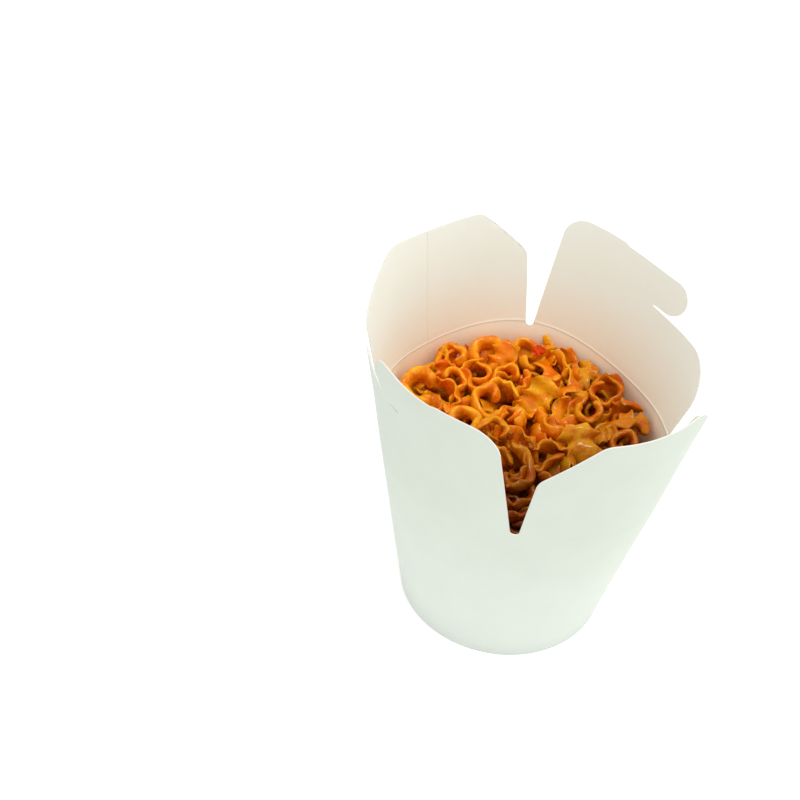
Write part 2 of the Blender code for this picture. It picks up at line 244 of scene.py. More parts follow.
def tongue_lift(run, height):
    """How far a lock flap's tongue springs outwards, past its slit."""
    reach = run % (2 * PANEL)
    share = np.clip((reach - SLIT_ROOT) / (TONGUE_REACH - SLIT_ROOT), 0, TONGUE_END)
    return np.where((height > SLIT_HEIGHT) & (reach < PANEL), TONGUE_LIFT * share ** TONGUE_BEND, 0)


def board_points(flat):
    """Folded places, on the outer face, of points (run, height) of the blank."""
    run, height = flat[:, 0], flat[:, 1]
    theta = np.interp(run, RUNS, ANGLES)
    crease = around(theta, mouth_radius(theta), crease_height(run))
    direction, outward = flap_direction(run, theta)
    flap = crease + height[:, None] * direction + tongue_lift(run, height)[:, None] * outward
    drop = np.clip(-height / WALL_DROP, 0, 1)[:, None]
    wall = crease * (1 - drop) + around(theta, FOOT_RADIUS, 0) * drop
    beyond = np.maximum(-height - WALL_DROP, 0)
    inset = np.minimum(beyond, HEM_FOLD)
    rise = beyond - inset
    hem = around(theta, outer_radius(theta, rise) - inset, rise)
    upper = np.where(height[:, None] >= 0, flap, wall)
    return np.where(beyond[:, None] > 0, hem, upper)


def outer_radius(theta, height):
    """Outer radius of the wall at a height, kept to the fold line above it."""
    share = np.minimum(height / crease_height(run_at(theta)), WIDEST)
    return FOOT_RADIUS + (mouth_radius(theta) - FOOT_RADIUS) * share


def board_thickness(flat, ridge, lap, lap_width):
    """Thickness at points of the blank: the pressed ridge of the fold and the glued seam's lap."""
    run, height = flat[:, 0], flat[:, 1]
    pressed = ridge * np.exp(-(height / RIDGE_WIDTH) ** 2)
    share = (run - SEAM) / lap_width
    glued = np.where((share > 0) & (share < 1), lap * (1 - share), 0)
    return BOARD + pressed + glued


# Outlines of the flaps

def arc(centre, radius, start, end, steps):
    """Points on an arc, angles in degrees from +run towards +height."""
    turns = [radians(start + (end - start) * i / steps) for i in range(steps + 1)]
    return [(centre[0] + radius * cos(t), centre[1] + radius * sin(t)) for t in turns]


def rounded(before, corner, after, radius, steps=6):
    """A corner between two straight edges, rounded by a short curve."""
    corner = Vector(corner)
    start = corner + (Vector(before) - corner).normalized() * radius
    end = corner + (Vector(after) - corner).normalized() * radius
    shares = [i / steps for i in range(steps + 1)]
    return [tuple(start * (1 - t) ** 2 + corner * 2 * t * (1 - t) + end * t * t) for t in shares]


def between_notches(flap):
    """A panel's outline: its flap between the halves of its two notches' round bottoms."""
    half = arc((0, 0), NOTCH_RADIUS, -90, 0, steps=8)
    return half + flap + [(PANEL - x, y) for x, y in reversed(half)]


def plain_flap(first_shoulder):
    """Outline of a plain flap from its first notch to its second."""
    corners = [(NOTCH_RADIUS, 0),
               (PLAIN_SIDE_INSET, first_shoulder[1]),
               (first_shoulder[0], FLAP_HEIGHT),
               (PANEL - PLAIN_LAST_SHOULDER[0], FLAP_HEIGHT),
               (PANEL - PLAIN_SIDE_INSET, PLAIN_LAST_SHOULDER[1]),
               (PANEL - NOTCH_RADIUS, 0)]
    return between_notches([point for corner in zip(corners, corners[1:], corners[2:])
                            for point in rounded(*corner, PLAIN_SHOULDER_ROUND)])


def lock_flap():
    """Outline of a lock flap: round corner, nicked top edge, tongue, slit and low shoulder."""
    tongue = (FLAP_HEIGHT - LOCK_NICK_DEPTH - SLIT_HEIGHT) / 2
    tongue_centre = (TONGUE_REACH - tongue, SLIT_HEIGHT + tongue)
    low_centre = (PANEL - LOCK_FAR_INSET - LOCK_LOW_CORNER, LOCK_LOW_HEIGHT - LOCK_LOW_CORNER)
    corner_centre = (LOCK_SIDE_INSET + LOCK_CORNER, FLAP_HEIGHT - LOCK_CORNER)
    return between_notches(
        arc(corner_centre, LOCK_CORNER, 180, 90, steps=16)
        + [(LOCK_NICK_START, FLAP_HEIGHT),
           (LOCK_NICK_START + LOCK_NICK_RUN, FLAP_HEIGHT - LOCK_NICK_DEPTH)]
        + arc(tongue_centre, tongue, 90, -90, steps=26)
        + arc((SLIT_ROOT, SLIT_HEIGHT - SLIT_WIDTH / 2), SLIT_WIDTH / 2, 90, 270, steps=6)
        + arc(low_centre, LOCK_LOW_CORNER, 90, 0, steps=20))


def subdivided(points, longest):
    """The same outline with no edge longer than a limit."""
    result = [points[0]]
    for (x0, y0), (x1, y1) in zip(points, points[1:]):
        length = hypot(x1 - x0, y1 - y0)
        if length < SHORTEST:
            continue
        count = max(1, round(length / longest))
        for i in range(1, count + 1):
            result.append((x0 + (x1 - x0) * i / count, y0 + (y1 - y0) * i / count))
    return result


def inside(points, outline):
    """Which points lie in a closed outline."""
    x, y = points[:, 0], points[:, 1]
    found = np.zeros(len(points), bool)
    for (x0, y0), (x1, y1) in zip(outline, outline[1:] + outline[:1]):
        if y0 != y1:
            crosses = (y0 > y) != (y1 > y)
            found ^= crosses & (x < x0 + (y - y0) / (y1 - y0) * (x1 - x0))
    return found


def board_columns():
    """Runs of the mesh's columns, even round the box, with a close pair at the seam's edge."""
    even = [i * PANEL / FINE_COLUMNS for i in range(PANELS * FINE_COLUMNS + 1)]
    clear = [run for run in even if abs(run - SEAM) > SEAM_EDGE]
    return sorted(clear + [SEAM - SEAM_EDGE, SEAM + SEAM_EDGE])


def flap_faces(outline, panel, columns):
    """Points and triangles of one flap, from just under its notches to its top edge."""
    start = panel * PANEL
    own = [run - start for run in columns if -TOLERANCE <= run - start <= PANEL + TOLERANCE]
    closed = subdivided(outline, PANEL / FINE_COLUMNS)
    closed += [(run, WALL_TOP) for run in reversed(own)]
    rows = list(RIDGE_ROWS)
    rows += list(np.arange(RIDGE_ROWS[-1] + FLAP_ROW, FLAP_HEIGHT, FLAP_ROW))
    grid = np.array([(run, row) for row in rows for run in own[1:-1]])
    border = np.array(closed)
    near = np.full(len(grid), np.inf)
    for corner in border:
        near = np.minimum(near, np.hypot(*(grid - corner).T))
    kept = grid[inside(grid, closed) & (near > FLAP_ROW / 4)]
    points = closed + [tuple(point) for point in kept]
    edges = [(i, (i + 1) % len(closed)) for i in range(len(closed))]
    made = delaunay_2d_cdt([Vector(p) for p in points], edges, [], 0, 10 * TOLERANCE)
    flat = np.array([tuple(p) for p in made[0]])
    faces = [tuple(face) for face in made[2]]
    middles = np.array([flat[list(face)].mean(0) for face in faces])
    chosen = inside(middles, closed)
    flat[:, 0] += start
    return flat, [face for face, good in zip(faces, chosen) if good]


def blank_faces():
    """Points (run, height) and faces of the whole blank."""
    columns = board_columns()
    lock = lock_flap()
    outlines = (lock, plain_flap(PLAIN_FRONT_SHOULDER), lock, plain_flap(PLAIN_REAR_SHOULDER))
    rows = list(np.linspace(WALL_TOP, -WALL_DROP, WALL_ROWS))
    rows += [-WALL_DROP - HEM_FOLD * share for share in HEM_FOLD_ROWS]
    rows += [-WALL_DROP - HEM_FOLD - HEM_RISE * share for share in HEM_ROWS]
    flat = [np.array([(run, row) for row in rows for run in columns])]
    wide = len(columns)
    faces = []
    for i in range(len(rows) - 1):
        for j in range(wide - 1):
            low = (i + 1) * wide + j
            faces.append((low, low + 1, low + 1 - wide, low - wide))
    offset = len(flat[0])
    for panel, outline in enumerate(outlines):
        points, triangles = flap_faces(outline, panel, columns)
        flat.append(points)
        faces += [tuple(i + offset for i in face) for face in triangles]
        offset += len(points)
    return np.concatenate(flat), faces


def make_board(name, look):
    """The folded sheet: outer face, inner face set off by the local thickness, and cut edge."""
    flat, faces = blank_faces()
    bm = bmesh.new()
    run, height, fold = [bm.verts.layers.float.new(label) for label in ("run", "height", "fold")]
    corners = []
    for point, place in zip(flat, board_points(flat)):
        corner = bm.verts.new(place)
        corner[run], corner[height] = point
        corners.append(corner)
    for face in faces:
        bm.faces.new([corners[i] for i in face])
    bmesh.ops.remove_doubles(bm, verts=bm.verts, dist=MERGE)
    bmesh.ops.recalc_face_normals(bm, faces=bm.faces)
    high = max(bm.faces, key=lambda face: face.calc_center_median().z)
    spot = high.calc_center_median()
    if high.normal.dot(Vector((spot.x, spot.y, 0))) < 0:
        bmesh.ops.reverse_faces(bm, faces=bm.faces)
    bm.normal_update()
    bm.verts.index_update()
    outer = list(bm.verts)
    flat = np.array([(v[run], v[height]) for v in outer])
    depth = board_thickness(flat, look.ridge, look.lap, look.lap_width)
    inner = [bm.verts.new(v.co - v.normal * d) for v, d in zip(outer, depth)]
    for corner, (_, level) in zip(inner, flat):
        corner[fold] = np.exp(-(level / RIDGE_WIDTH) ** 2)
    sheet = list(bm.faces)
    for edge in [edge for edge in bm.edges if edge.is_boundary]:
        loop = edge.link_loops[0]
        a, b = loop.vert, loop.link_loop_next.vert
        face = bm.faces.new((b, a, inner[a.index], inner[b.index]))
        face.material_index = CUT
    for face in sheet:
        back = bm.faces.new([inner[v.index] for v in reversed(face.verts)])
        runs = [flat[v.index][0] for v in face.verts]
        at_seam = max(runs) - min(runs) < 3 * SEAM_EDGE and abs(runs[0] - SEAM) < 2 * SEAM_EDGE
        back.material_index = RAW if at_seam else INSIDE
    for label in ("run", "height"):
        bm.verts.layers.float.remove(bm.verts.layers.float[label])
    return mesh_object(name, bm)


# Objects

def smooth_mesh(name, bm):
    """A smooth mesh from a bmesh, which is freed."""
    mesh = bpy.data.meshes.new(name)
    bm.to_mesh(mesh)
    bm.free()
    mesh.shade_smooth()
    return mesh


def scene_object(name, data):
    """A new object in the scene, for a mesh, a light or a camera."""
    made = bpy.data.objects.new(name, data)
    bpy.context.scene.collection.objects.link(made)
    return made


def mesh_object(name, bm):
    """An object made from a bmesh, shaded smooth except at sharp edges."""
    mesh = smooth_mesh(name, bm)
    mesh.set_sharp_from_angle(angle=SHARP_ANGLE)
    return scene_object(name, mesh)


def box_axis():
    """Where the middle of the foot stands in the solids' frame."""
    low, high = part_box("base")
    return Vector(((low.x + high.x) / 2, (low.y + high.y) / 2, 0))


def settle_in_frame(piece, offset):
    """Move a piece's mesh from the box's own axis to its place in the frame, and ride it."""
    piece.data.transform(Matrix.Translation(offset))
    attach(piece, "root")


# Shader helpers and shared groups

COAT_ROUGHNESS = 0.1
SCATTER_REACH = 0.0015
SCATTER_COLOURS = (1.0, 0.4, 0.08)
# Sockets of a Mix node that mixes colours
MIX_FACTOR, MIX_FIRST, MIX_SECOND, MIX_RESULT = 0, 6, 7, 2


def add_node(tree, kind, inputs=None, **settings):
    """A node with its settings, and its inputs set to values or linked to sockets."""
    made = tree.nodes.new(kind)
    for key, value in settings.items():
        setattr(made, key, value)
    for key, value in (inputs or {}).items():
        if isinstance(value, bpy.types.NodeSocket):
            tree.links.new(value, made.inputs[key])
        else:
            made.inputs[key].default_value = value
    return made


def new_group(name, kind, inputs, outputs):
    """A node group with named sockets, with the sockets inside it at its start and its end."""
    tree = bpy.data.node_groups.new(name, kind)
    for label, socket_kind, *default in inputs:
        socket = tree.interface.new_socket(
            label, in_out="INPUT", socket_type="NodeSocket" + socket_kind)
        if default:
            socket.default_value = default[0]
    for label, socket_kind in outputs:
        tree.interface.new_socket(label, in_out="OUTPUT", socket_type="NodeSocket" + socket_kind)
    return tree, tree.nodes.new("NodeGroupInput").outputs, tree.nodes.new("NodeGroupOutput").inputs


def shared_group(name, build):
    """The node group of this name, built at its first use."""
    return bpy.data.node_groups.get(name) or build(name)


def patchy_group(name):
    """Soft-edged patches: a mask for sauce smears, mottled board and browned spots."""
    tree, start, end = new_group(
        name, "ShaderNodeTree",
        (("Vector", "Vector"), ("Scale", "Float", 200.0), ("Level", "Float", 0.5),
         ("Softness", "Float", 0.1)),
        (("Mask", "Float"),))
    noise = add_node(tree, "ShaderNodeTexNoise", {
        "Vector": start["Vector"], "Scale": start["Scale"],
        "Detail": 3.0, "Roughness": 0.55, "Distortion": 0.4})
    levels = {0: start["Level"], 1: start["Softness"]}
    low = add_node(tree, "ShaderNodeMath", levels, operation="SUBTRACT")
    high = add_node(tree, "ShaderNodeMath", levels, operation="ADD")
    mask = add_node(tree, "ShaderNodeMapRange", {
        "Value": noise.outputs["Fac"], "From Min": low.outputs[0], "From Max": high.outputs[0]},
        interpolation_type="SMOOTHSTEP")
    tree.links.new(mask.outputs["Result"], end["Mask"])
    return tree


def grain_group(name):
    """Fine uneven relief as a normal: board fibres, and the rough skin of cooked pasta."""
    tree, start, end = new_group(
        name, "ShaderNodeTree",
        (("Vector", "Vector"), ("Scale", "Float", 500.0), ("Depth", "Float", 0.0001)),
        (("Normal", "Vector"), ("Height", "Float")))
    noise = add_node(tree, "ShaderNodeTexNoise", {
        "Vector": start["Vector"], "Scale": start["Scale"], "Detail": 4.0, "Roughness": 0.6})
    bump = add_node(tree, "ShaderNodeBump", {
        "Strength": 1.0, "Distance": start["Depth"], "Height": noise.outputs["Fac"]})
    tree.links.new(bump.outputs["Normal"], end["Normal"])
    tree.links.new(noise.outputs["Fac"], end["Height"])
    return tree


def rgba(source):
    """A colour as a socket takes it, or the socket that gives one."""
    return source if isinstance(source, bpy.types.NodeSocket) else (*source, 1)


def scaled(colour, factor):
    """A colour made darker or paler."""
    return [channel * factor for channel in colour]


class Finish:
    """A Principled material being built, with its Object coordinates at hand."""

    def __init__(self, name, roughness, shine=0.3, coat=0.0, scatter=0.0):
        self.material = bpy.data.materials.new(name)
        self.material.use_nodes = True
        self.tree = self.material.node_tree
        self.shader = self.tree.nodes["Principled BSDF"]
        self.set_values({
            "Roughness": roughness, "Specular IOR Level": shine, "Coat Weight": coat,
            "Coat Roughness": COAT_ROUGHNESS, "Subsurface Weight": scatter,
            "Subsurface Scale": SCATTER_REACH})
        self.place = self.tree.nodes.new("ShaderNodeTexCoord").outputs["Object"]

    def set_values(self, values):
        """Set the shader's own sockets."""
        for key, value in values.items():
            self.shader.inputs[key].default_value = value

    def node(self, kind, inputs=None, **settings):
        """A node of this material."""
        return add_node(self.tree, kind, inputs, **settings)

    def group(self, name, build, values):
        """Outputs of one of the shared groups, fed with Object coordinates."""
        values = {"Vector": self.place, **values}
        return self.node("ShaderNodeGroup", values, node_tree=shared_group(name, build)).outputs

    def patches(self, scale, level=0.5, softness=0.2):
        """Mask of soft-edged patches."""
        values = {"Scale": scale, "Level": level, "Softness": softness}
        return self.group("Patches", patchy_group, values)["Mask"]

    def relief(self, scale, depth):
        """Fine relief on the shader's normal, and its height."""
        made = self.group("Fine Relief", grain_group, {"Scale": scale, "Depth": depth})
        self.tree.links.new(made["Normal"], self.shader.inputs["Normal"])
        return made["Height"]

    def attribute(self, name):
        """A value that is stored on the mesh."""
        return self.node("ShaderNodeAttribute", attribute_name=name).outputs["Fac"]

    def ramp(self, value, stops):
        """Colours along a value."""
        made = self.node("ShaderNodeValToRGB", {"Fac": value})
        elements = made.color_ramp.elements
        while len(elements) < len(stops):
            elements.new(0.5)
        for element, (position, colour) in zip(elements, stops):
            element.position = position
            element.color = rgba(colour)
        return made.outputs["Color"]

    def mix(self, mask, first, second, blend="MIX"):
        """Two colours, mixed by a mask or a number."""
        sources = {MIX_FACTOR: mask, MIX_FIRST: rgba(first), MIX_SECOND: rgba(second)}
        made = self.node("ShaderNodeMix", sources, data_type="RGBA", blend_type=blend)
        return made.outputs[MIX_RESULT]

    def spread(self, value, low, high, to_low=0.0, to_high=1.0):
        """A value stretched from one range to another."""
        values = {"Value": value, "From Min": low, "From Max": high,
                  "To Min": to_low, "To Max": to_high}
        return self.node("ShaderNodeMapRange", values).outputs["Result"]

    def part(self, mask, most):
        """A mask made weaker, so that it reaches a share at most."""
        return self.spread(mask, 0.0, 1.0, 0.0, most)

    def way(self, axis, low, high):
        """Share of the way along an axis between two places."""
        axes = self.node("ShaderNodeSeparateXYZ", {"Vector": self.place})
        return self.spread(axes.outputs[axis], low, high)

    def done(self, colour, roughness=None):
        """Give the shader its colour, and its roughness where that varies."""
        self.tree.links.new(colour, self.shader.inputs["Base Color"])
        if roughness is not None:
            self.tree.links.new(roughness, self.shader.inputs["Roughness"])
        return self.material


# Finishes: scales are patches or grains a metre, spans are in metres along an axis

# Heights over which the outer face grows paler towards the foot: painted bounce light from the floor
FOOT_BOUNCE_SPAN = (0.0, 0.085)
# Heights over which the inner face goes from painted shade low in the box to its own cream at the
# top
INSIDE_SHADE_SPAN = (0.078, 0.148)
DEEP_BLEND = 0.012
# X span over which painted shadow darkens the pasta towards the right
SHADE_SPAN = (0.014, 0.048)
# Y span over which painted shadow darkens the pasta towards the front
FRONT_SHADOW_SPAN = (-0.033, 0.010)


def outside_board(look):
    """Coated outer face: cool white, faintly mottled, and paler at the foot as painted bounce light
    from the floor.
    """
    finish = Finish("coated board outside", 0.6, shine=0.02)
    # Painted bounce light: the outer face is paler towards the foot, as if lit from the floor
    white = finish.mix(finish.way("Z", *FOOT_BOUNCE_SPAN), look.foot, look.outside)
    mottle = finish.patches(60, softness=0.25)
    shade = finish.mix(1.0, white, (0.975, 0.975, 0.975), "MULTIPLY")
    fibre = finish.relief(1400, 0.00002)
    return finish.done(finish.mix(mottle, shade, white), finish.spread(fibre, 0.3, 0.7, 0.52, 0.66))


def inside_board(look):
    """Uncoated inner face: cream, pale where the fold is pressed, and peachy and darker near the
    food as painted shade and orange light from the food.
    """
    finish = Finish("board inside", 0.62)
    # Painted shade and orange light from the food: the inner face is darker and peachy low in the
    # box, cream higher up
    depth_shade = finish.ramp(finish.way("Z", *INSIDE_SHADE_SPAN), (
        (0.0, look.inside_low_shade), (0.25, look.inside_fold),
        (0.6, look.inside_top), (1.0, look.inside_top)))
    warmed = finish.mix(0.4, depth_shade, (0.97, 0.955, 0.93), "MULTIPLY")
    mottled = finish.mix(finish.patches(45, softness=0.3), depth_shade, warmed)
    finish.relief(1100, 0.00003)
    pressed = finish.part(finish.attribute("fold"), 0.3)
    return finish.done(finish.mix(pressed, mottled, look.outside))


def cut_edge(name, colour):
    """Cut edge of the board, with its fibres showing."""
    finish = Finish(name, 0.8)
    return finish.done(finish.mix(finish.relief(2600, 0.00004), scaled(colour, 0.9), colour))


def base_board(look):
    """Underside and floor of the base cup."""
    finish = Finish("base board", 0.7)
    pale = finish.mix(finish.relief(1200, 0.00003), scaled(look.base, 0.93), look.base)
    return finish.done(finish.mix(finish.patches(90, softness=0.25), scaled(look.base, 0.96), pale))


def pasta_finish(look):
    """Cooked pasta: wheat to orange by piece, dyed in its hollows, pale at its frills, with sauce.

    It is darker deep in the heap with sauce and painted shade, and tinted at the right and the front
    by painted shadow.
    """
    finish = Finish("sauced pasta", 0.4, shine=0.04, coat=0.36, scatter=0.35)
    finish.set_values({"Subsurface Radius": SCATTER_COLOURS})
    skin = finish.mix(finish.attribute("tone"), look.wheat, look.orange)
    hollow = finish.spread(finish.attribute("inner"), 0.1, 0.9, 0.0, 0.45)
    frill = finish.spread(finish.attribute("edge"), 0.6, 1.0, 0.0, 0.5)
    rimmed = finish.mix(frill, finish.mix(hollow, skin, look.dyed), look.wheat)
    mottled = finish.mix(finish.part(finish.patches(330), 0.3), rimmed, look.orange)
    smear = finish.patches(150, level=0.55, softness=0.10)
    sauced = finish.mix(finish.part(smear, 0.6), mottled, look.sauce)
    specks = finish.patches(620, level=0.68, softness=0.05)
    speckled = finish.mix(finish.part(specks, 0.6), sauced, look.sauce)
    # Painted shade deep in the heap, along with sauce: pieces under the deep level are darkened
    # towards the gravy colour
    deep_shaded = finish.mix(0.85, speckled, look.gravy_and_deep_shade)
    risen = finish.mix(finish.way("Z", look.deep, look.deep + DEEP_BLEND), deep_shaded, speckled)
    # Painted shadow, not browning: the pasta is darkened towards the right
    shaded = finish.mix(1.0, risen, look.shade, "MULTIPLY")
    browned = finish.mix(finish.way("X", *SHADE_SPAN), risen, shaded)
    # Painted shadow: the pasta is darkened towards the front, under the front wall and flaps
    front_shaded = finish.mix(1.0, browned, look.front_shadow, "MULTIPLY")
    coloured = finish.mix(finish.way("Y", *FRONT_SHADOW_SPAN), front_shaded, browned)
    finish.relief(520, 0.00042)
    return finish.done(coloured, finish.spread(smear, 0.0, 1.0, 0.5, 0.3))


def patchy_finish(name, roughness, shine, patches, relief, colours):
    """Two colours in soft patches over a fine relief."""
    finish = Finish(name, roughness, shine=shine)
    finish.relief(*relief)
    return finish.done(finish.mix(finish.patches(**patches), *colours))


def sauce_finish(look):
    """Dark glossy sauce, between and under the pieces; its darkness is also painted shade in the
    gaps.
    """
    return patchy_finish("sauce", 0.35, 0.15, {"scale": 180, "softness": 0.15}, (260, 0.0012),
                         (look.gravy_and_deep_shade, scaled(look.sauce, 0.4)))


def pepper_finish(look):
    """A cooked piece of red pepper, wet with sauce."""
    return patchy_finish("red pepper", 0.4, 0.06, {"scale": 400}, (500, 0.0002),
                         (look.pepper, scaled(look.pepper, 0.6)))


def crumb_finish(look):
    """Browned crumbs."""
    return patchy_finish("browned crumb", 0.5, 0.05, {"scale": 700}, (900, 0.0003),
                         (look.crumb, scaled(look.crumb, 1.8)))


# Shapes of the pasta

class Ribbon(NamedTuple):
    """Sizes of one kind of curled ribbon: millimetres, degrees, and shares."""
    length: float
    width: float
    thick: float
    turn: float
    swing: float = 0
    twist: float = 0
    climb: float = 0
    tighten: float = 0
    frill: float = 0.4
    waves: float = 4
    spikes: float = 0.04
    cup: float = 0
    on_edge: bool = True


PASTA_KINDS = {
    "ring": Ribbon(28, 6.8, 3.2, 380, climb=3.4, tighten=0.3, swing=16, frill=0.8, waves=3.3,
                   spikes=0.07),
    "big_ring": Ribbon(28, 7.4, 4.3, 335, climb=2.2, swing=10, frill=0.6, waves=3.2, spikes=0.06),
    "small_ring": Ribbon(20, 5.6, 2.9, 340, climb=1.8, swing=18, frill=0.6, waves=2.6, spikes=0.06),
    "coil": Ribbon(38, 6.2, 2.4, 440, climb=7, tighten=0.3, swing=14, frill=0.9, waves=4.4,
                   spikes=0.08),
    "hook": Ribbon(27, 7.0, 3.0, 235, climb=1.5, tighten=0.8, frill=1.0, waves=3.2, spikes=0.10),
    "elbow": Ribbon(19, 7.8, 2.9, 165, swing=14, frill=1.1, waves=2.4, spikes=0.14),
    "wave": Ribbon(28, 7.8, 2.7, 25, swing=68, frill=1.2, waves=3.4, spikes=0.13),
    "frill": Ribbon(26, 10.5, 2.1, 40, frill=1.8, waves=4.4, spikes=0.20, cup=1.6, on_edge=False),
    "star": Ribbon(16, 11.5, 2.2, 20, swing=12, frill=1.6, waves=2.3, spikes=0.30, cup=-1.4,
                   on_edge=False),
    "twist": Ribbon(27, 8.4, 2.3, 80, swing=18, twist=140, frill=1.5, waves=3.1, spikes=0.13,
                    on_edge=False),
    "scroll": Ribbon(23, 9.2, 2.4, 150, twist=40, frill=1.5, waves=2.6, spikes=0.15, cup=0.8),
}
COMMON = ("ring", "small_ring", "coil", "hook", "elbow", "elbow", "wave", "wave", "twist", "twist",
          "scroll", "scroll", "frill", "star")
PHASES = (0.0, 2.1)
MM = 0.001

# A ribbon's section, and the waves of its frills
RIBBON_STEPS = 36
RIBBON_SIDES = 16
CORNER_POWER = 0.8
RIM_THIN = 0.3
FRILL_POWER = 1.6
FAR_WAVES = 0.9
FAR_PHASE = 2.2
WANDER = 0.9
WANDER_RATE = 9
TIP_START = 0.08


def squared(values):
    """Sines or cosines round a section, pushed a little towards a square."""
    return np.sign(values) * np.abs(values) ** CORNER_POWER


def ribbon_rings(kind, phase):
    """Points of a ribbon's sections, with their shares to its edge and to its inner face."""
    thick = kind.thick * MM / 2
    place = np.zeros(3)
    side = np.array([0.0, 1.0, 0.0])
    turns = np.arange(RIBBON_SIDES) * 2 * pi / RIBBON_SIDES
    across, through = squared(np.cos(turns)), squared(np.sin(turns))
    near = across > 0
    edge = np.abs(across)
    rings = []
    for i in range(RIBBON_STEPS + 1):
        share = i / RIBBON_STEPS
        eased = (1 - kind.tighten) * share + kind.tighten * share * share
        heading = radians(kind.turn) * eased + radians(kind.swing) * sin(2 * pi * share)
        ahead = np.array([cos(heading), 0.0, sin(heading)])
        up = np.array([-sin(heading), 0.0, cos(heading)])
        if i:
            place = place + ahead * kind.length * MM / RIBBON_STEPS
        roll = radians(kind.twist) * (share - 0.5)
        wide = side * cos(roll) + up * sin(roll)
        face = up * cos(roll) - side * sin(roll)
        angles = 2 * pi * kind.waves * share * np.where(near, 1.0, FAR_WAVES)
        angles = angles + WANDER * sin(WANDER_RATE * share + phase)
        angles = angles + phase + np.where(near, 0.0, FAR_PHASE)
        point = 1 - 2 * np.abs(np.sin(angles / 2))
        near_end = min(share, 1 - share) * kind.length * MM / thick
        tip = sqrt(1 - (1 - min(1.0, TIP_START + near_end)) ** 2)
        half = kind.width * MM / 2 * (1 + kind.spikes * point) - thick * (1 - tip)
        bend = kind.frill * MM * np.sin(angles) * edge ** FRILL_POWER + kind.cup * MM * edge ** 2
        ring = place + np.outer(across * half, wide)
        ring += np.outer(through * thick * (1 - RIM_THIN * edge ** 2) * tip + bend, face)
        ring += side * kind.climb * MM * share
        rings.append(ring)
    points = np.concatenate(rings)
    inner = np.clip(through if kind.on_edge else -through, 0, 1)
    return points - points.mean(0), np.tile(edge, len(rings)), np.tile(inner, len(rings))


def pasta_shapes():
    """Every kind of ribbon at each phase, as (kind name, points, edge shares, inner shares)."""
    return [(name, *ribbon_rings(kind, phase))
            for name, kind in PASTA_KINDS.items() for phase in PHASES]


def skin_rings(bm, rings, clockwise=False):
    """Side faces between closed rings of corners, and faces over the first and the last ring."""
    for low, high in zip(rings, rings[1:]):
        for i in range(len(low)):
            j = (i + 1) % len(low)
            side = (low[j], high[j], high[i])
            bm.faces.new((low[i], *(reversed(side) if clockwise else side)))
    bm.faces.new(rings[0] if clockwise else list(reversed(rings[0])))
    bm.faces.new(list(reversed(rings[-1])) if clockwise else rings[-1])
    bmesh.ops.recalc_face_normals(bm, faces=bm.faces)


def shape_object(name, points, edge, inner):
    """A ribbon with closed ends, with the shares to its edge and inner face stored on it."""
    bm = bmesh.new()
    layers = [bm.verts.layers.float.new(label) for label in ("edge", "inner")]
    corners = []
    for point, *shares in zip(points, edge, inner):
        corner = bm.verts.new(point)
        for layer, share in zip(layers, shares):
            corner[layer] = share
        corners.append(corner)
    skin_rings(bm, [corners[i:i + RIBBON_SIDES] for i in range(0, len(corners), RIBBON_SIDES)])
    return bpy.data.objects.new(name, smooth_mesh(name, bm))


# The heap, built up by dropping pieces on a height map

def food_radius(theta, height):
    """Radius that the food may fill, clear of the board's inner face."""
    return outer_radius(theta, height) - BOARD - 2 * GAP


def pile_level(x, y):
    """Height that the heap's tops should reach on average: a low dome, lower at the front."""
    share = np.minimum(np.hypot(x, y) / PILE_RADIUS, 1.0)
    return PILE_EDGE + PILE_DOME * (1 - share ** 2) + PILE_DIP * np.minimum(y, 0) / PILE_RADIUS


class Pile:
    """Height map of the heap, from the box's axis."""

    def __init__(self):
        side = (np.arange(2 * MAP_HALF) - MAP_HALF + 0.5) * MAP_CELL
        self.x, self.y = np.meshgrid(side, side, indexing="ij")
        self.aim = pile_level(self.x, self.y)
        self.top = self.aim - BED_DEPTH
        theta = np.arctan2(self.x, self.y)
        self.within = np.hypot(self.x, self.y) < food_radius(theta, self.aim) - MAP_MARGIN

    def cells(self, points):
        """Map cells that points lie over."""
        cells = np.floor(points[:, :2] / MAP_CELL).astype(int) + MAP_HALF
        cells = np.clip(cells, 0, 2 * MAP_HALF - 1)
        return cells[:, 0], cells[:, 1]

    def rest(self, points):
        """How far a piece has to be raised to lie on the heap, pressed a little into it."""
        cells = self.cells(points)
        lower = np.full(self.top.shape, np.inf)
        np.minimum.at(lower, cells, points[:, 2])
        under = np.isfinite(lower)
        return np.percentile(self.top[under] - lower[under], NESTLE) - PRESS

    def add(self, points):
        """Raise the map to a piece's upper face."""
        np.maximum.at(self.top, self.cells(points), points[:, 2])

    def lack(self, size=4):
        """How far the heap is under its aim, averaged round each cell."""
        gap = np.where(self.within, self.aim - self.top, 0)
        count = self.within.astype(float)
        for grid in (gap, count):
            for axis in (0, 1):
                sums = sum(np.roll(grid, shift, axis) for shift in range(-size, size + 1))
                grid[:] = sums
        return np.where(self.within, gap / np.maximum(count, 1), -1)


def tuck_in(points, spot):
    """Move a piece in from the wall until all of it is inside."""
    spot = spot.copy()
    for _ in range(10):
        moved = points + spot
        theta = np.arctan2(moved[:, 0], moved[:, 1])
        reach = np.hypot(moved[:, 0], moved[:, 1])
        over = reach - food_radius(theta, moved[:, 2]) + WALL_CLEAR
        worst = over.argmax()
        if over[worst] <= 0:
            break
        spot[:2] -= moved[worst, :2] / reach[worst] * (over[worst] + 1e-4)
    return spot


def drop(pile, points, spot):
    """Place where a turned piece comes to rest when it is dropped over a spot."""
    for _ in range(3):
        level = spot * IN_PLAN
        spot[2] = pile.rest(points + level)
        spot = tuck_in(points, spot)
    return spot


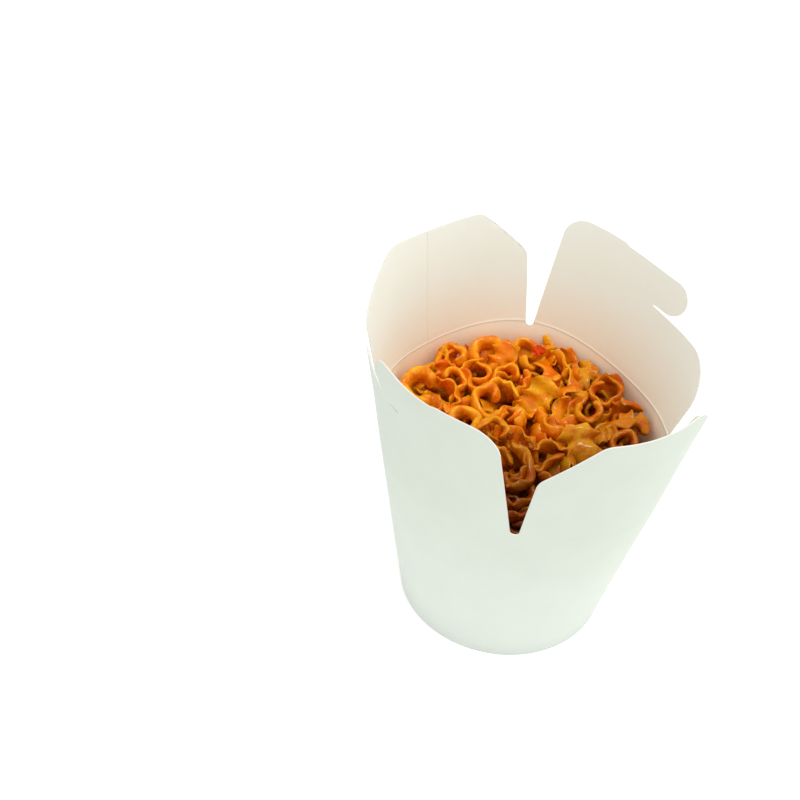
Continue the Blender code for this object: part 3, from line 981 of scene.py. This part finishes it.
def piece_turn(kind, lean, tip, spin):
    """Rotation of a piece: show side up, then leaned to the viewer and tipped to the right."""
    align = Matrix.Rotation(pi / 2, 3, "X") if kind.on_edge else Matrix.Identity(3)
    turned = Matrix.Rotation(radians(lean), 3, "X") @ Matrix.Rotation(radians(spin), 3, "Z")
    return Matrix.Rotation(radians(tip), 3, "Y") @ turned @ align


class Placed(NamedTuple):
    """A piece of pasta at its place in the heap."""
    shape: int
    spot: tuple
    turn: tuple
    size: float
    tone: float


def camera_axes():
    """Right, up and forward of the camera."""
    up = Vector((0, sin(CAMERA_PITCH), cos(CAMERA_PITCH)))
    across = Vector((1, 0, 0))
    right = across * cos(CAMERA_ROLL) + up * sin(CAMERA_ROLL)
    upward = up * cos(CAMERA_ROLL) - across * sin(CAMERA_ROLL)
    return right, upward, Vector((0, cos(CAMERA_PITCH), -sin(CAMERA_PITCH)))


def seen_at(across, down, height):
    """Point at a height, from the box's axis, that shows at a place in the picture."""
    right, upward, forward = camera_axes()
    focal = FRAME_PIXELS * CAMERA_LENS / CAMERA_SENSOR
    half = FRAME_PIXELS / 2
    ray = forward + right * ((across - half) / focal) - upward * ((down - half) / focal)
    point = CAMERA_PLACE + ray * ((height - CAMERA_PLACE.z) / ray.z)
    return np.array(point)


# Pieces that show on top: kind, place in the picture, lean to the viewer, tip to the right,
# spin, size, tone from pale wheat to orange, and millimetres that they rise over the heap
SHOWN = (
    ("wave", 445, 350, 20, 0, 0, 0.9, 0.8, 3.0),
    ("frill", 486, 348, 40, 0, 0, 0.9, 0.8, 3.5),
    ("ring", 444, 354, 35, -10, 200, 1.15, 0.5, 5.5),
    ("twist", 440, 368, 30, -10, 60, 0.85, 0.9, 3.5),
    ("big_ring", 484, 353, 22, 5, 250, 1.15, 0.65, 4.5),
    ("star", 503, 359, 45, 0, 60, 0.95, 0.75, 5.0),
    ("frill", 530, 347, 45, 0, 0, 0.85, 0.6, 4.0),
    ("ring", 528, 351, 30, 10, 100, 1.15, 0.5, 4.0),
    ("frill", 553, 366, 40, 10, 40, 0.9, 0.6, 3.0),
    ("wave", 551, 348, 40, 20, 110, 0.75, 0.1, 6.5),
    ("elbow", 560, 364, 20, 0, 20, 0.9, 0.35, 3.5),
    ("frill", 443, 380, 35, -10, 80, 0.65, 1.0, 3.0),
    ("small_ring", 456, 380, 35, 0, 120, 1.0, 0.65, 3.5),
    ("big_ring", 417, 388, 14, 0, 250, 1.15, 0.25, 6.0),
    ("wave", 481, 385, 30, 0, 0, 0.9, 0.8, 3.0),
    ("elbow", 505, 388, 20, 0, 60, 0.8, 0.05, 4.0),
    ("scroll", 452, 397, 30, 0, 10, 0.9, 0.8, 3.5),
    ("big_ring", 466, 421, 15, -5, 120, 0.95, 0.3, 3.5),
    ("ring", 486, 403, 25, 0, 250, 1.1, 0.55, 4.5),
    ("hook", 490, 429, 45, 0, 90, 0.9, 0.5, 4.0),
    ("twist", 528, 372, 30, 0, 50, 1.1, 0.35, 4.5),
    ("frill", 528, 411, 36, 6, 62, 1.18, 0.0, 8.0),
    ("frill", 609, 388, 50, -15, 20, 1.0, 0.8, 4.0),
    ("coil", 606, 391, 25, -15, 60, 1.05, 0.9, 5.0),
    ("small_ring", 589, 413, 40, -10, 0, 1.0, 0.4, 4.0),
    ("twist", 610, 414, 35, 0, 15, 1.1, 0.8, 4.0),
    ("elbow", 624, 428, 60, 0, 100, 1.25, 0.6, 4.5),
    ("star", 645, 423, 40, 20, 0, 0.75, 0.4, 4.0),
    ("small_ring", 622, 444, 30, 0, 200, 1.0, 0.85, 3.5),
    ("frill", 600, 436, 30, 0, 10, 0.55, 0.4, 3.5),
    ("star", 582, 450, 40, -10, 100, 1.2, 0.05, 5.0),
    ("scroll", 556, 453, 30, 0, 60, 0.95, 0.6, 3.0),
    ("elbow", 499, 453, 30, 0, 60, 0.8, 0.4, 3.0),
    ("hook", 520, 471, 22, 0, 330, 1.15, 0.5, 4.5),
    ("wave", 537, 461, 30, 0, 5, 0.9, 0.9, 3.5),
    ("elbow", 516, 520, 20, 0, 90, 0.9, 0.5, 2.0),
)


class Heap:
    """Pieces put one by one on the height map."""

    def __init__(self, shapes, look):
        self.shapes = shapes
        self.names = [shape[0] for shape in shapes]
        self.size = look.size
        self.draw = random.Random(look.seed)
        self.pile = Pile()

    def rested(self, number, turn, size, spot, headroom):
        """A turned piece's points and its place at rest, pressed down under the heap's level."""
        turned = self.shapes[number][1] * size @ np.array(turn).T
        place = drop(self.pile, turned, spot * IN_PLAN)
        limit = pile_level(place[0], place[1]) + headroom - np.percentile(turned[:, 2], TOPS)
        place[2] = min(place[2], limit)
        return turned, tuck_in(turned, place)

    def put(self, number, turns, size, tone, spot, headroom):
        """Put down a piece in the turn that lies lowest."""
        best = None
        for turn in turns:
            turned, place = self.rested(number, turn, size, spot, headroom)
            top = place[2] + turned[:, 2].max()
            if best is None or top < best[0]:
                best = (top, turned, place, turn)
        _, turned, place, turn = best
        self.pile.add(turned + place)
        return Placed(number, tuple(place), tuple(turn.to_euler()), size, tone)

    def fill(self, count, under, headroom):
        """Pieces at random in the lowest spots, until the heap is nearly at its level."""
        placed = []
        draw = self.draw
        for _ in range(count):
            lack = self.pile.lack() - under
            if lack.max() < 0:
                break
            lowest = np.argwhere(lack > lack.max() - LOW_SPOTS)
            cell = tuple(lowest[draw.randrange(len(lowest))])
            spot = np.array([self.pile.x[cell], self.pile.y[cell], 0.0])
            name = draw.choice(COMMON)
            number = self.names.index(name) + draw.randrange(len(PHASES))
            kind = PASTA_KINDS[name]
            turns = [piece_turn(kind, *(draw.uniform(*span) for span in (LEANS, TIPS, SPINS)))
                     for _ in range(TRIES)]
            size = self.size * draw.uniform(*SIZES)
            placed.append(self.put(number, turns, size, draw.betavariate(2, 2), spot, headroom))
        return placed

    def show(self, pieces):
        """Pieces at their places in the picture."""
        placed = []
        for name, across, down, lean, tip, spin, size, tone, rise in pieces:
            number = self.names.index(name) + round(across) % len(PHASES)
            turn = piece_turn(PASTA_KINDS[name], lean, tip, spin)
            level = PILE_EDGE
            for _ in range(TRIES):
                spot = seen_at(across, down, level)
                level = self.rested(number, turn, size * self.size, spot, rise * MM)[1][2]
            placed.append(self.put(number, [turn], size * self.size, tone, spot, rise * MM))
        return placed


def heap_pieces(shapes, look):
    """Places of all the pieces: a hidden layer first, then the ones that show."""
    heap = Heap(shapes, look)
    under = heap.fill(look.hidden, LOWER_DEPTH, -LOWER_DEPTH + LOWER_RISE)
    shown = heap.show(SHOWN)
    shown += heap.fill(look.extra, GAP_DEPTH, GAP_RISE)
    return under, shown


def point_cloud(name, placed, axis):
    """A mesh of loose points that carries where and how each piece lies."""
    mesh = bpy.data.meshes.new(name)
    mesh.from_pydata([Vector(piece.spot) + axis for piece in placed], [], [])
    for label, kind in (("shape", "INT"), ("size", "FLOAT"), ("tone", "FLOAT")):
        layer = mesh.attributes.new(label, kind, "POINT")
        layer.data.foreach_set("value", [getattr(piece, label) for piece in placed])
    turn = mesh.attributes.new("turn", "FLOAT_VECTOR", "POINT")
    turn.data.foreach_set("vector", [angle for piece in placed for angle in piece.turn])
    return scene_object(name, mesh)


def scatter_tree(name):
    """Geometry Nodes that put a chosen shape, turned and sized, on each point."""
    tree, start, end = new_group(
        name, "GeometryNodeTree",
        (("Geometry", "Geometry"), ("Shapes", "Collection"), ("Scale", "Float"),
         ("Finish", "Material")),
        (("Geometry", "Geometry"),))

    def stored(label, kind):
        named = add_node(tree, "GeometryNodeInputNamedAttribute", {"Name": label}, data_type=kind)
        return named.outputs["Attribute"]

    shapes = add_node(tree, "GeometryNodeCollectionInfo", {
        "Collection": start["Shapes"], "Separate Children": True, "Reset Children": True})
    turn = add_node(tree, "FunctionNodeEulerToRotation", {"Euler": stored("turn", "FLOAT_VECTOR")})
    scale = add_node(tree, "ShaderNodeMath", {0: stored("size", "FLOAT"), 1: start["Scale"]},
                     operation="MULTIPLY")
    put = add_node(tree, "GeometryNodeInstanceOnPoints", {
        "Points": start["Geometry"], "Instance": shapes.outputs["Instances"], "Pick Instance": True,
        "Instance Index": stored("shape", "INT"), "Rotation": turn.outputs["Rotation"],
        "Scale": scale.outputs[0]})
    real = add_node(tree, "GeometryNodeRealizeInstances", {"Geometry": put.outputs["Instances"]})
    coat = add_node(tree, "GeometryNodeSetMaterial", {
        "Geometry": real.outputs["Geometry"], "Material": start["Finish"]})
    tree.links.new(coat.outputs["Geometry"], end["Geometry"])
    return tree


def scatter(name, placed, shapes, axis, material):
    """Pieces on their points, made real as one plain mesh."""
    cloud = point_cloud(name, placed, axis)
    modifier = cloud.modifiers.new("scatter", "NODES")
    modifier.node_group = shared_group("Scatter Pieces", scatter_tree)
    values = {"Shapes": shapes, "Scale": 1.0, "Finish": material}
    for item in modifier.node_group.interface.items_tree:
        if item.item_type == "SOCKET" and item.in_out == "INPUT" and item.name in values:
            modifier[item.identifier] = values[item.name]
    cloud.update_tag()
    bpy.context.view_layer.update()
    evaluated = cloud.evaluated_get(bpy.context.evaluated_depsgraph_get())
    mesh = bpy.data.meshes.new_from_object(evaluated)
    cloud.modifiers.remove(modifier)
    mesh.name = name
    for label in ("shape", "size", "turn"):
        if label in mesh.attributes:
            mesh.attributes.remove(mesh.attributes[label])
    cloud.data = mesh
    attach(cloud, "root")


def make_bed(name):
    """The heap below the pieces: sauce and pasta as one lumpy body, down to the base cup."""
    angles = np.arange(BED_SIDES) * 2 * pi / BED_SIDES
    sizes = [(food_radius(angles, height), height) for height in (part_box("pasta")[0].z, BED_WAIST)]
    for share in BED_REACHES:
        reach = food_radius(angles, PILE_EDGE - BED_DEPTH) * share
        x, y = reach * np.sin(angles), reach * np.cos(angles)
        lumps = sum(np.sin(along * rate + 2 * np.sin(over * bend))
                    for (along, over), (rate, bend) in zip(((x, y), (y, x)), BED_WAVES))
        level = pile_level(x, y) - BED_DEPTH + BED_LUMP * lumps
        sizes.append((np.minimum(reach, food_radius(angles, level)), level))
    bm = bmesh.new()
    rings = [[bm.verts.new(p) for p in around(angles, *size)] for size in sizes]
    skin_rings(bm, rings, clockwise=True)
    return mesh_object(name, bm)


def lump(name, size, seed, detail, uneven=0.11, ripple=2.6, waves=5):
    """A small uneven lump."""
    draw = random.Random(seed)
    bm = bmesh.new()
    bmesh.ops.create_icosphere(bm, subdivisions=detail, radius=1.0)
    swells = [(Vector([draw.uniform(-ripple, ripple) for _ in range(3)]), draw.uniform(0, 6))
              for _ in range(waves)]
    for vertex in bm.verts:
        push = 1 + sum(uneven * sin(vertex.co.dot(wave) + phase) for wave, phase in swells)
        vertex.co = Vector([c * s for c, s in zip(vertex.co * push, size)])
    return bpy.data.objects.new(name, smooth_mesh(name, bm))


def shape_collection(name, objects):
    """A collection of shapes to scatter, outside the scene."""
    made = bpy.data.collections.new(name)
    for item in objects:
        made.objects.link(item)
    return made


def clear_collection(collection):
    """Remove a collection of shapes once they have been scattered."""
    for item in list(collection.objects):
        bpy.data.objects.remove(item)
    bpy.data.collections.remove(collection)


# Settings

ColourProperty = partial(FloatVectorProperty, subtype="COLOR")
LengthProperty = partial(FloatProperty, unit="LENGTH")
PowerProperty = partial(FloatProperty, unit="POWER")


class BoardSettings(bpy.types.PropertyGroup):
    """Sizes and colours of the board."""
    ridge: LengthProperty(
        name="Ridge", description="How far the fold line stands in from the inner face",
        default=0.00021)
    lap: LengthProperty(
        name="Lap", description="Step at the edge of the glued seam", default=0.00009)
    lap_width: LengthProperty(
        name="Lap width", description="Width of the glued seam", default=0.010)
    outside: ColourProperty(
        name="Outside", description="Coated outer face", default=(0.655, 0.703, 0.624))
    # Outer face colour at the foot, paler as painted bounce light from the floor
    foot: ColourProperty(
        name="Foot", description="Coated outer face at the foot", default=(0.71, 0.755, 0.695))
    inside_top: ColourProperty(
        name="Inside, top", description="Inner face of the flaps", default=(0.95, 0.995, 0.91))
    inside_fold: ColourProperty(
        name="Inside, fold", description="Inner face by the fold line", default=(0.95, 0.93, 0.79))
    # Painted shade and orange light from the food, on the inner face low in the box
    inside_low_shade: ColourProperty(
        name="Inside, low", description="Inner face by the food", default=(0.92, 0.638, 0.385))
    edge: ColourProperty(
        name="Cut edge", description="Cut edges of the board", default=(0.82, 0.80, 0.73))
    raw: ColourProperty(
        name="Raw edge", description="Edge of the glued lap", default=(0.88, 0.78, 0.60))
    base: ColourProperty(name="Base", description="Base cup", default=(0.72, 0.72, 0.66))


class FoodSettings(bpy.types.PropertyGroup):
    """Count, size and colours of the food."""
    seed: IntProperty(name="Seed", description="Seed of the heap", default=7)
    hidden: IntProperty(
        name="Lower pieces", description="Most pieces in the lower layer", default=90)
    extra: IntProperty(
        name="Extra pieces", description="Most pieces that fill gaps on top", default=60)
    size: FloatProperty(
        name="Size", description="Size of the pieces against the drawn ones", default=1.1)
    # Pieces under this height are darkened by painted shade, along with sauce
    deep: LengthProperty(
        name="Deep", description="Height under which the pieces are dark with sauce",
        default=0.0732)
    wheat: ColourProperty(name="Wheat", description="Palest pasta", default=(0.91, 0.475, 0.012))
    orange: ColourProperty(
        name="Orange", description="Pasta dyed by the sauce", default=(0.86, 0.180, 0.0005))
    sauce: ColourProperty(name="Sauce", description="Sauce smears", default=(0.66, 0.06, 0.0005))
    dyed: ColourProperty(
        name="Dyed", description="Hollows that the sauce has dyed", default=(0.82, 0.14, 0.0005))
    # Colour of the painted shadow that darkens the pasta towards the right
    shade: ColourProperty(
        name="Shade", description="Tint towards the right, where more sauce lies",
        default=(0.62, 0.52, 0.40))
    # Colour of the painted shadow that darkens the pasta towards the front
    front_shadow: ColourProperty(
        name="Soak", description="Tint at the front, where the sauce has run together",
        default=(0.26, 0.170, 0.10))
    # Dark sauce colour that also serves as painted shade deep in the heap and in the gaps between
    # pieces
    gravy_and_deep_shade: ColourProperty(
        name="Gravy", description="Sauce deep in the heap", default=(0.235, 0.054, 0.001))
    pepper: ColourProperty(name="Pepper", description="Red pepper", default=(0.80, 0.055, 0.001))
    crumb: ColourProperty(name="Crumb", description="Browned crumbs", default=(0.28, 0.075, 0.008))


class StageSettings(bpy.types.PropertyGroup):
    """Floor and light."""
    floor: ColourProperty(name="Floor", description="Floor colour", default=(1.0, 1.0, 1.0))
    glow: FloatProperty(
        name="Glow", description="Light that the floor gives off, as a light table", default=0.30)
    sky: FloatProperty(name="Sky", description="Strength of the even light all round", default=0.72)
    key: PowerProperty(name="Key", description="Power of the large soft light above", default=8.5)
    left: PowerProperty(name="Left", description="Power of the soft light at the left", default=0.2)
    right: PowerProperty(
        name="Right", description="Power of the soft light at the right", default=2.8)


# Operators

LAYERS = ("pasta_lower", "pasta_upper")


class TAKEAWAY_OT_carton(bpy.types.Operator):
    """Fold the carton from one sheet of board"""
    bl_idname = "takeaway.carton"
    bl_label = "Fold Carton"

    def execute(self, context):
        look = context.scene.takeaway_board
        carton = make_board("carton_board", look)
        for finish in (outside_board(look), inside_board(look),
                       cut_edge("cut board edge", look.edge), cut_edge("raw seam edge", look.raw)):
            carton.data.materials.append(finish)
        settle_in_frame(carton, box_axis())
        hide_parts("carton")
        return {"FINISHED"}


class TAKEAWAY_OT_base(bpy.types.Operator):
    """Finish the base cup of the solids"""
    bl_idname = "takeaway.base"
    bl_label = "Finish Base"

    def execute(self, context):
        if "base" not in frame["nodes"]:
            raise RuntimeError("The frame has no base cup to finish")
        finish = base_board(context.scene.takeaway_board)
        for slot in frame["nodes"]["base"].material_slots:
            slot.material = finish
        return {"FINISHED"}


class TAKEAWAY_OT_pasta(bpy.types.Operator):
    """Heap the box with curled pasta"""
    bl_idname = "takeaway.pasta"
    bl_label = "Heap Pasta"

    def execute(self, context):
        look = context.scene.takeaway_food
        axis = box_axis()
        bed = make_bed("pasta_bed")
        bed.data.materials.append(sauce_finish(look))
        settle_in_frame(bed, axis)
        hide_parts("pasta")
        shapes = pasta_shapes()
        collection = shape_collection("pasta shapes", [
            shape_object(f"shape_{i:02d}", *shape[1:]) for i, shape in enumerate(shapes)])
        finish = pasta_finish(look)
        for name, placed in zip(LAYERS, heap_pieces(shapes, look)):
            scatter(name, placed, collection, axis, finish)
        clear_collection(collection)
        return {"FINISHED"}


# Pepper and crumbs: places in the picture, and sizes in metres
PEPPER_AT = (538, 355)
PEPPER_RISE = 0.003
PEPPER_SIZE = (0.0026, 0.0023, 0.0011)
PEPPER_LEAN = radians(28)
CRUMBS_AT = (527, 452)
CRUMBS_SINK = 0.002
CRUMB_SIZES = ((0.0011, 0.0008, 0.0007), (0.0016, 0.0010, 0.0008), (0.0008, 0.0007, 0.0005))
CRUMB_SPREADS = (0.0040,) * 16 + (0.020,) * 8
CRUMB_SCALES = (0.8, 1.3)
CRUMB_TONE = 0.5


def top_of_food():
    """Height map of the finished heap, from the box's axis."""
    pile = Pile()
    axis = np.array(box_axis())
    for name in LAYERS:
        if name not in bpy.data.objects:
            raise RuntimeError("Heap the pasta before the pepper and the crumbs")
        pile.add(corners_of(bpy.data.objects[name]) - axis)
    return pile


def corners_of(piece):
    """Places of a mesh's corners."""
    places = np.empty(len(piece.data.vertices) * 3, np.float32)
    piece.data.vertices.foreach_get("co", places)
    return places.reshape(-1, 3).astype(float)


class TAKEAWAY_OT_bits(bpy.types.Operator):
    """Add the piece of red pepper and the browned crumbs"""
    bl_idname = "takeaway.bits"
    bl_label = "Add Pepper and Crumbs"

    def execute(self, context):
        look = context.scene.takeaway_food
        axis = box_axis()
        pile = top_of_food()
        draw = random.Random(look.seed)
        pepper = lump("pepper", PEPPER_SIZE, seed=5, detail=5, uneven=0.1, ripple=7.0)
        context.scene.collection.objects.link(pepper)
        pepper.data.transform(Matrix.Rotation(PEPPER_LEAN, 4, "X"))
        spot = seen_at(*PEPPER_AT, PILE_EDGE + PEPPER_RISE)
        spot = drop(pile, corners_of(pepper), spot * IN_PLAN)
        pepper.data.materials.append(pepper_finish(look))
        settle_in_frame(pepper, Vector(spot) + axis)
        crumbs = [lump(f"crumb_{i}", size, seed=i, detail=1) for i, size in enumerate(CRUMB_SIZES)]
        centre = seen_at(*CRUMBS_AT, PILE_EDGE - CRUMBS_SINK)
        placed = []
        for spread in CRUMB_SPREADS:
            spot = centre + np.array([draw.gauss(0, spread), draw.gauss(0, spread), 0])
            number = draw.randrange(len(crumbs))
            spot = drop(pile, corners_of(crumbs[number]), spot * IN_PLAN)
            turn = tuple(draw.uniform(0, 6) for _ in range(3))
            scale = draw.uniform(*CRUMB_SCALES)
            placed.append(Placed(number, tuple(spot), turn, scale, CRUMB_TONE))
        collection = shape_collection("crumb shapes", crumbs)
        scatter("crumbs", placed, collection, axis, crumb_finish(look))
        clear_collection(collection)
        return {"FINISHED"}


# Stage: lights by name, place from the box, and size
FLOOR_HALF = 3.0
FLOOR_DROP = 0.0001
LIGHTS = (
    ("key", (0.05, -0.2, 1.3), 0.45),
    ("left", (-1.15, 0.0, 0.35), 0.8),
    ("right", (1.15, 0.1, 0.35), 0.8),
)
LIGHT_TARGET = 0.08
NEAREST = 0.01


class TAKEAWAY_OT_stage(bpy.types.Operator):
    """Set the floor, the soft light and the camera"""
    bl_idname = "takeaway.stage"
    bl_label = "Set Stage"

    def execute(self, context):
        look = context.scene.takeaway_stage
        scene = context.scene
        axis = box_axis()
        floor = make_floor(look)
        world = bpy.data.worlds.new("even light")
        world.use_nodes = True
        background = world.node_tree.nodes["Background"]
        background.inputs["Color"].default_value = (1, 1, 1, 1)
        background.inputs["Strength"].default_value = look.sky
        scene.world = world
        for name, place, size in LIGHTS:
            soft_light(name, place, size, getattr(look, name), axis)
        scene.camera = photo_camera(axis)
        scene.view_settings.view_transform = "Standard"
        return {"FINISHED"}


def make_floor(look):
    """A wide pale floor just under the foot, lit from inside like a light table."""
    bm = bmesh.new()
    bmesh.ops.create_grid(bm, x_segments=4, y_segments=4, size=FLOOR_HALF)
    floor = mesh_object("floor", bm)
    floor.data.transform(Matrix.Translation((0, 0, -FLOOR_DROP)))
    finish = Finish("pale floor", 0.9)
    colour = rgba(look.floor)
    finish.set_values({
        "Base Color": colour, "Emission Color": colour, "Emission Strength": look.glow})
    floor.data.materials.append(finish.material)
    return floor


def soft_light(name, place, size, power, axis):
    """A large square light that faces the box."""
    data = bpy.data.lights.new(name, "AREA")
    data.shape = "SQUARE"
    data.size = size
    data.energy = power
    lamp = scene_object(name, data)
    target = axis + Vector((0, 0, LIGHT_TARGET))
    lamp.location = target + Vector(place)
    lamp.rotation_euler = (target - lamp.location).to_track_quat("-Z", "Y").to_euler()


def photo_camera(axis):
    """The camera at the photograph's viewing angle."""
    data = bpy.data.cameras.new("camera")
    data.lens = CAMERA_LENS
    data.sensor_width = CAMERA_SENSOR
    data.clip_start = NEAREST
    camera = scene_object("camera", data)
    right, upward, forward = camera_axes()
    turn = Matrix((right, upward, -forward)).transposed()
    camera.matrix_world = Matrix.Translation(CAMERA_PLACE + axis) @ turn.to_4x4()
    return camera


class TAKEAWAY_PT_box(bpy.types.Panel):
    """Buttons and settings of the takeaway box"""
    bl_label = "Noodle Takeaway Box"
    bl_space_type = "VIEW_3D"
    bl_region_type = "UI"
    bl_category = "Takeaway"

    def draw(self, context):
        layout = self.layout
        for operator in OPERATORS:
            layout.operator(operator.bl_idname)
        for label in SETTINGS:
            group = getattr(context.scene, label)
            for key in group.bl_rna.properties.keys():
                if key not in ("rna_type", "name"):
                    layout.prop(group, key)


OPERATORS = (TAKEAWAY_OT_carton, TAKEAWAY_OT_base, TAKEAWAY_OT_pasta, TAKEAWAY_OT_bits,
             TAKEAWAY_OT_stage)
SETTINGS = {"takeaway_board": BoardSettings, "takeaway_food": FoodSettings,
            "takeaway_stage": StageSettings}
CLASSES = (*SETTINGS.values(), *OPERATORS, TAKEAWAY_PT_box)


def register():
    """Register the classes, and hang the settings on the scene."""
    for cls in CLASSES:
        bpy.utils.register_class(cls)
    for label, cls in SETTINGS.items():
        setattr(bpy.types.Scene, label, PointerProperty(type=cls))


def unregister():
    """Undo what register did."""
    for label in SETTINGS:
        delattr(bpy.types.Scene, label)
    for cls in reversed(CLASSES):
        bpy.utils.unregister_class(cls)


def main():
    """Make every piece and the stage."""
    register()
    bpy.ops.takeaway.carton()
    bpy.ops.takeaway.base()
    bpy.ops.takeaway.pasta()
    bpy.ops.takeaway.bits()
    bpy.ops.takeaway.stage()


if __name__ == "__main__":
    main()
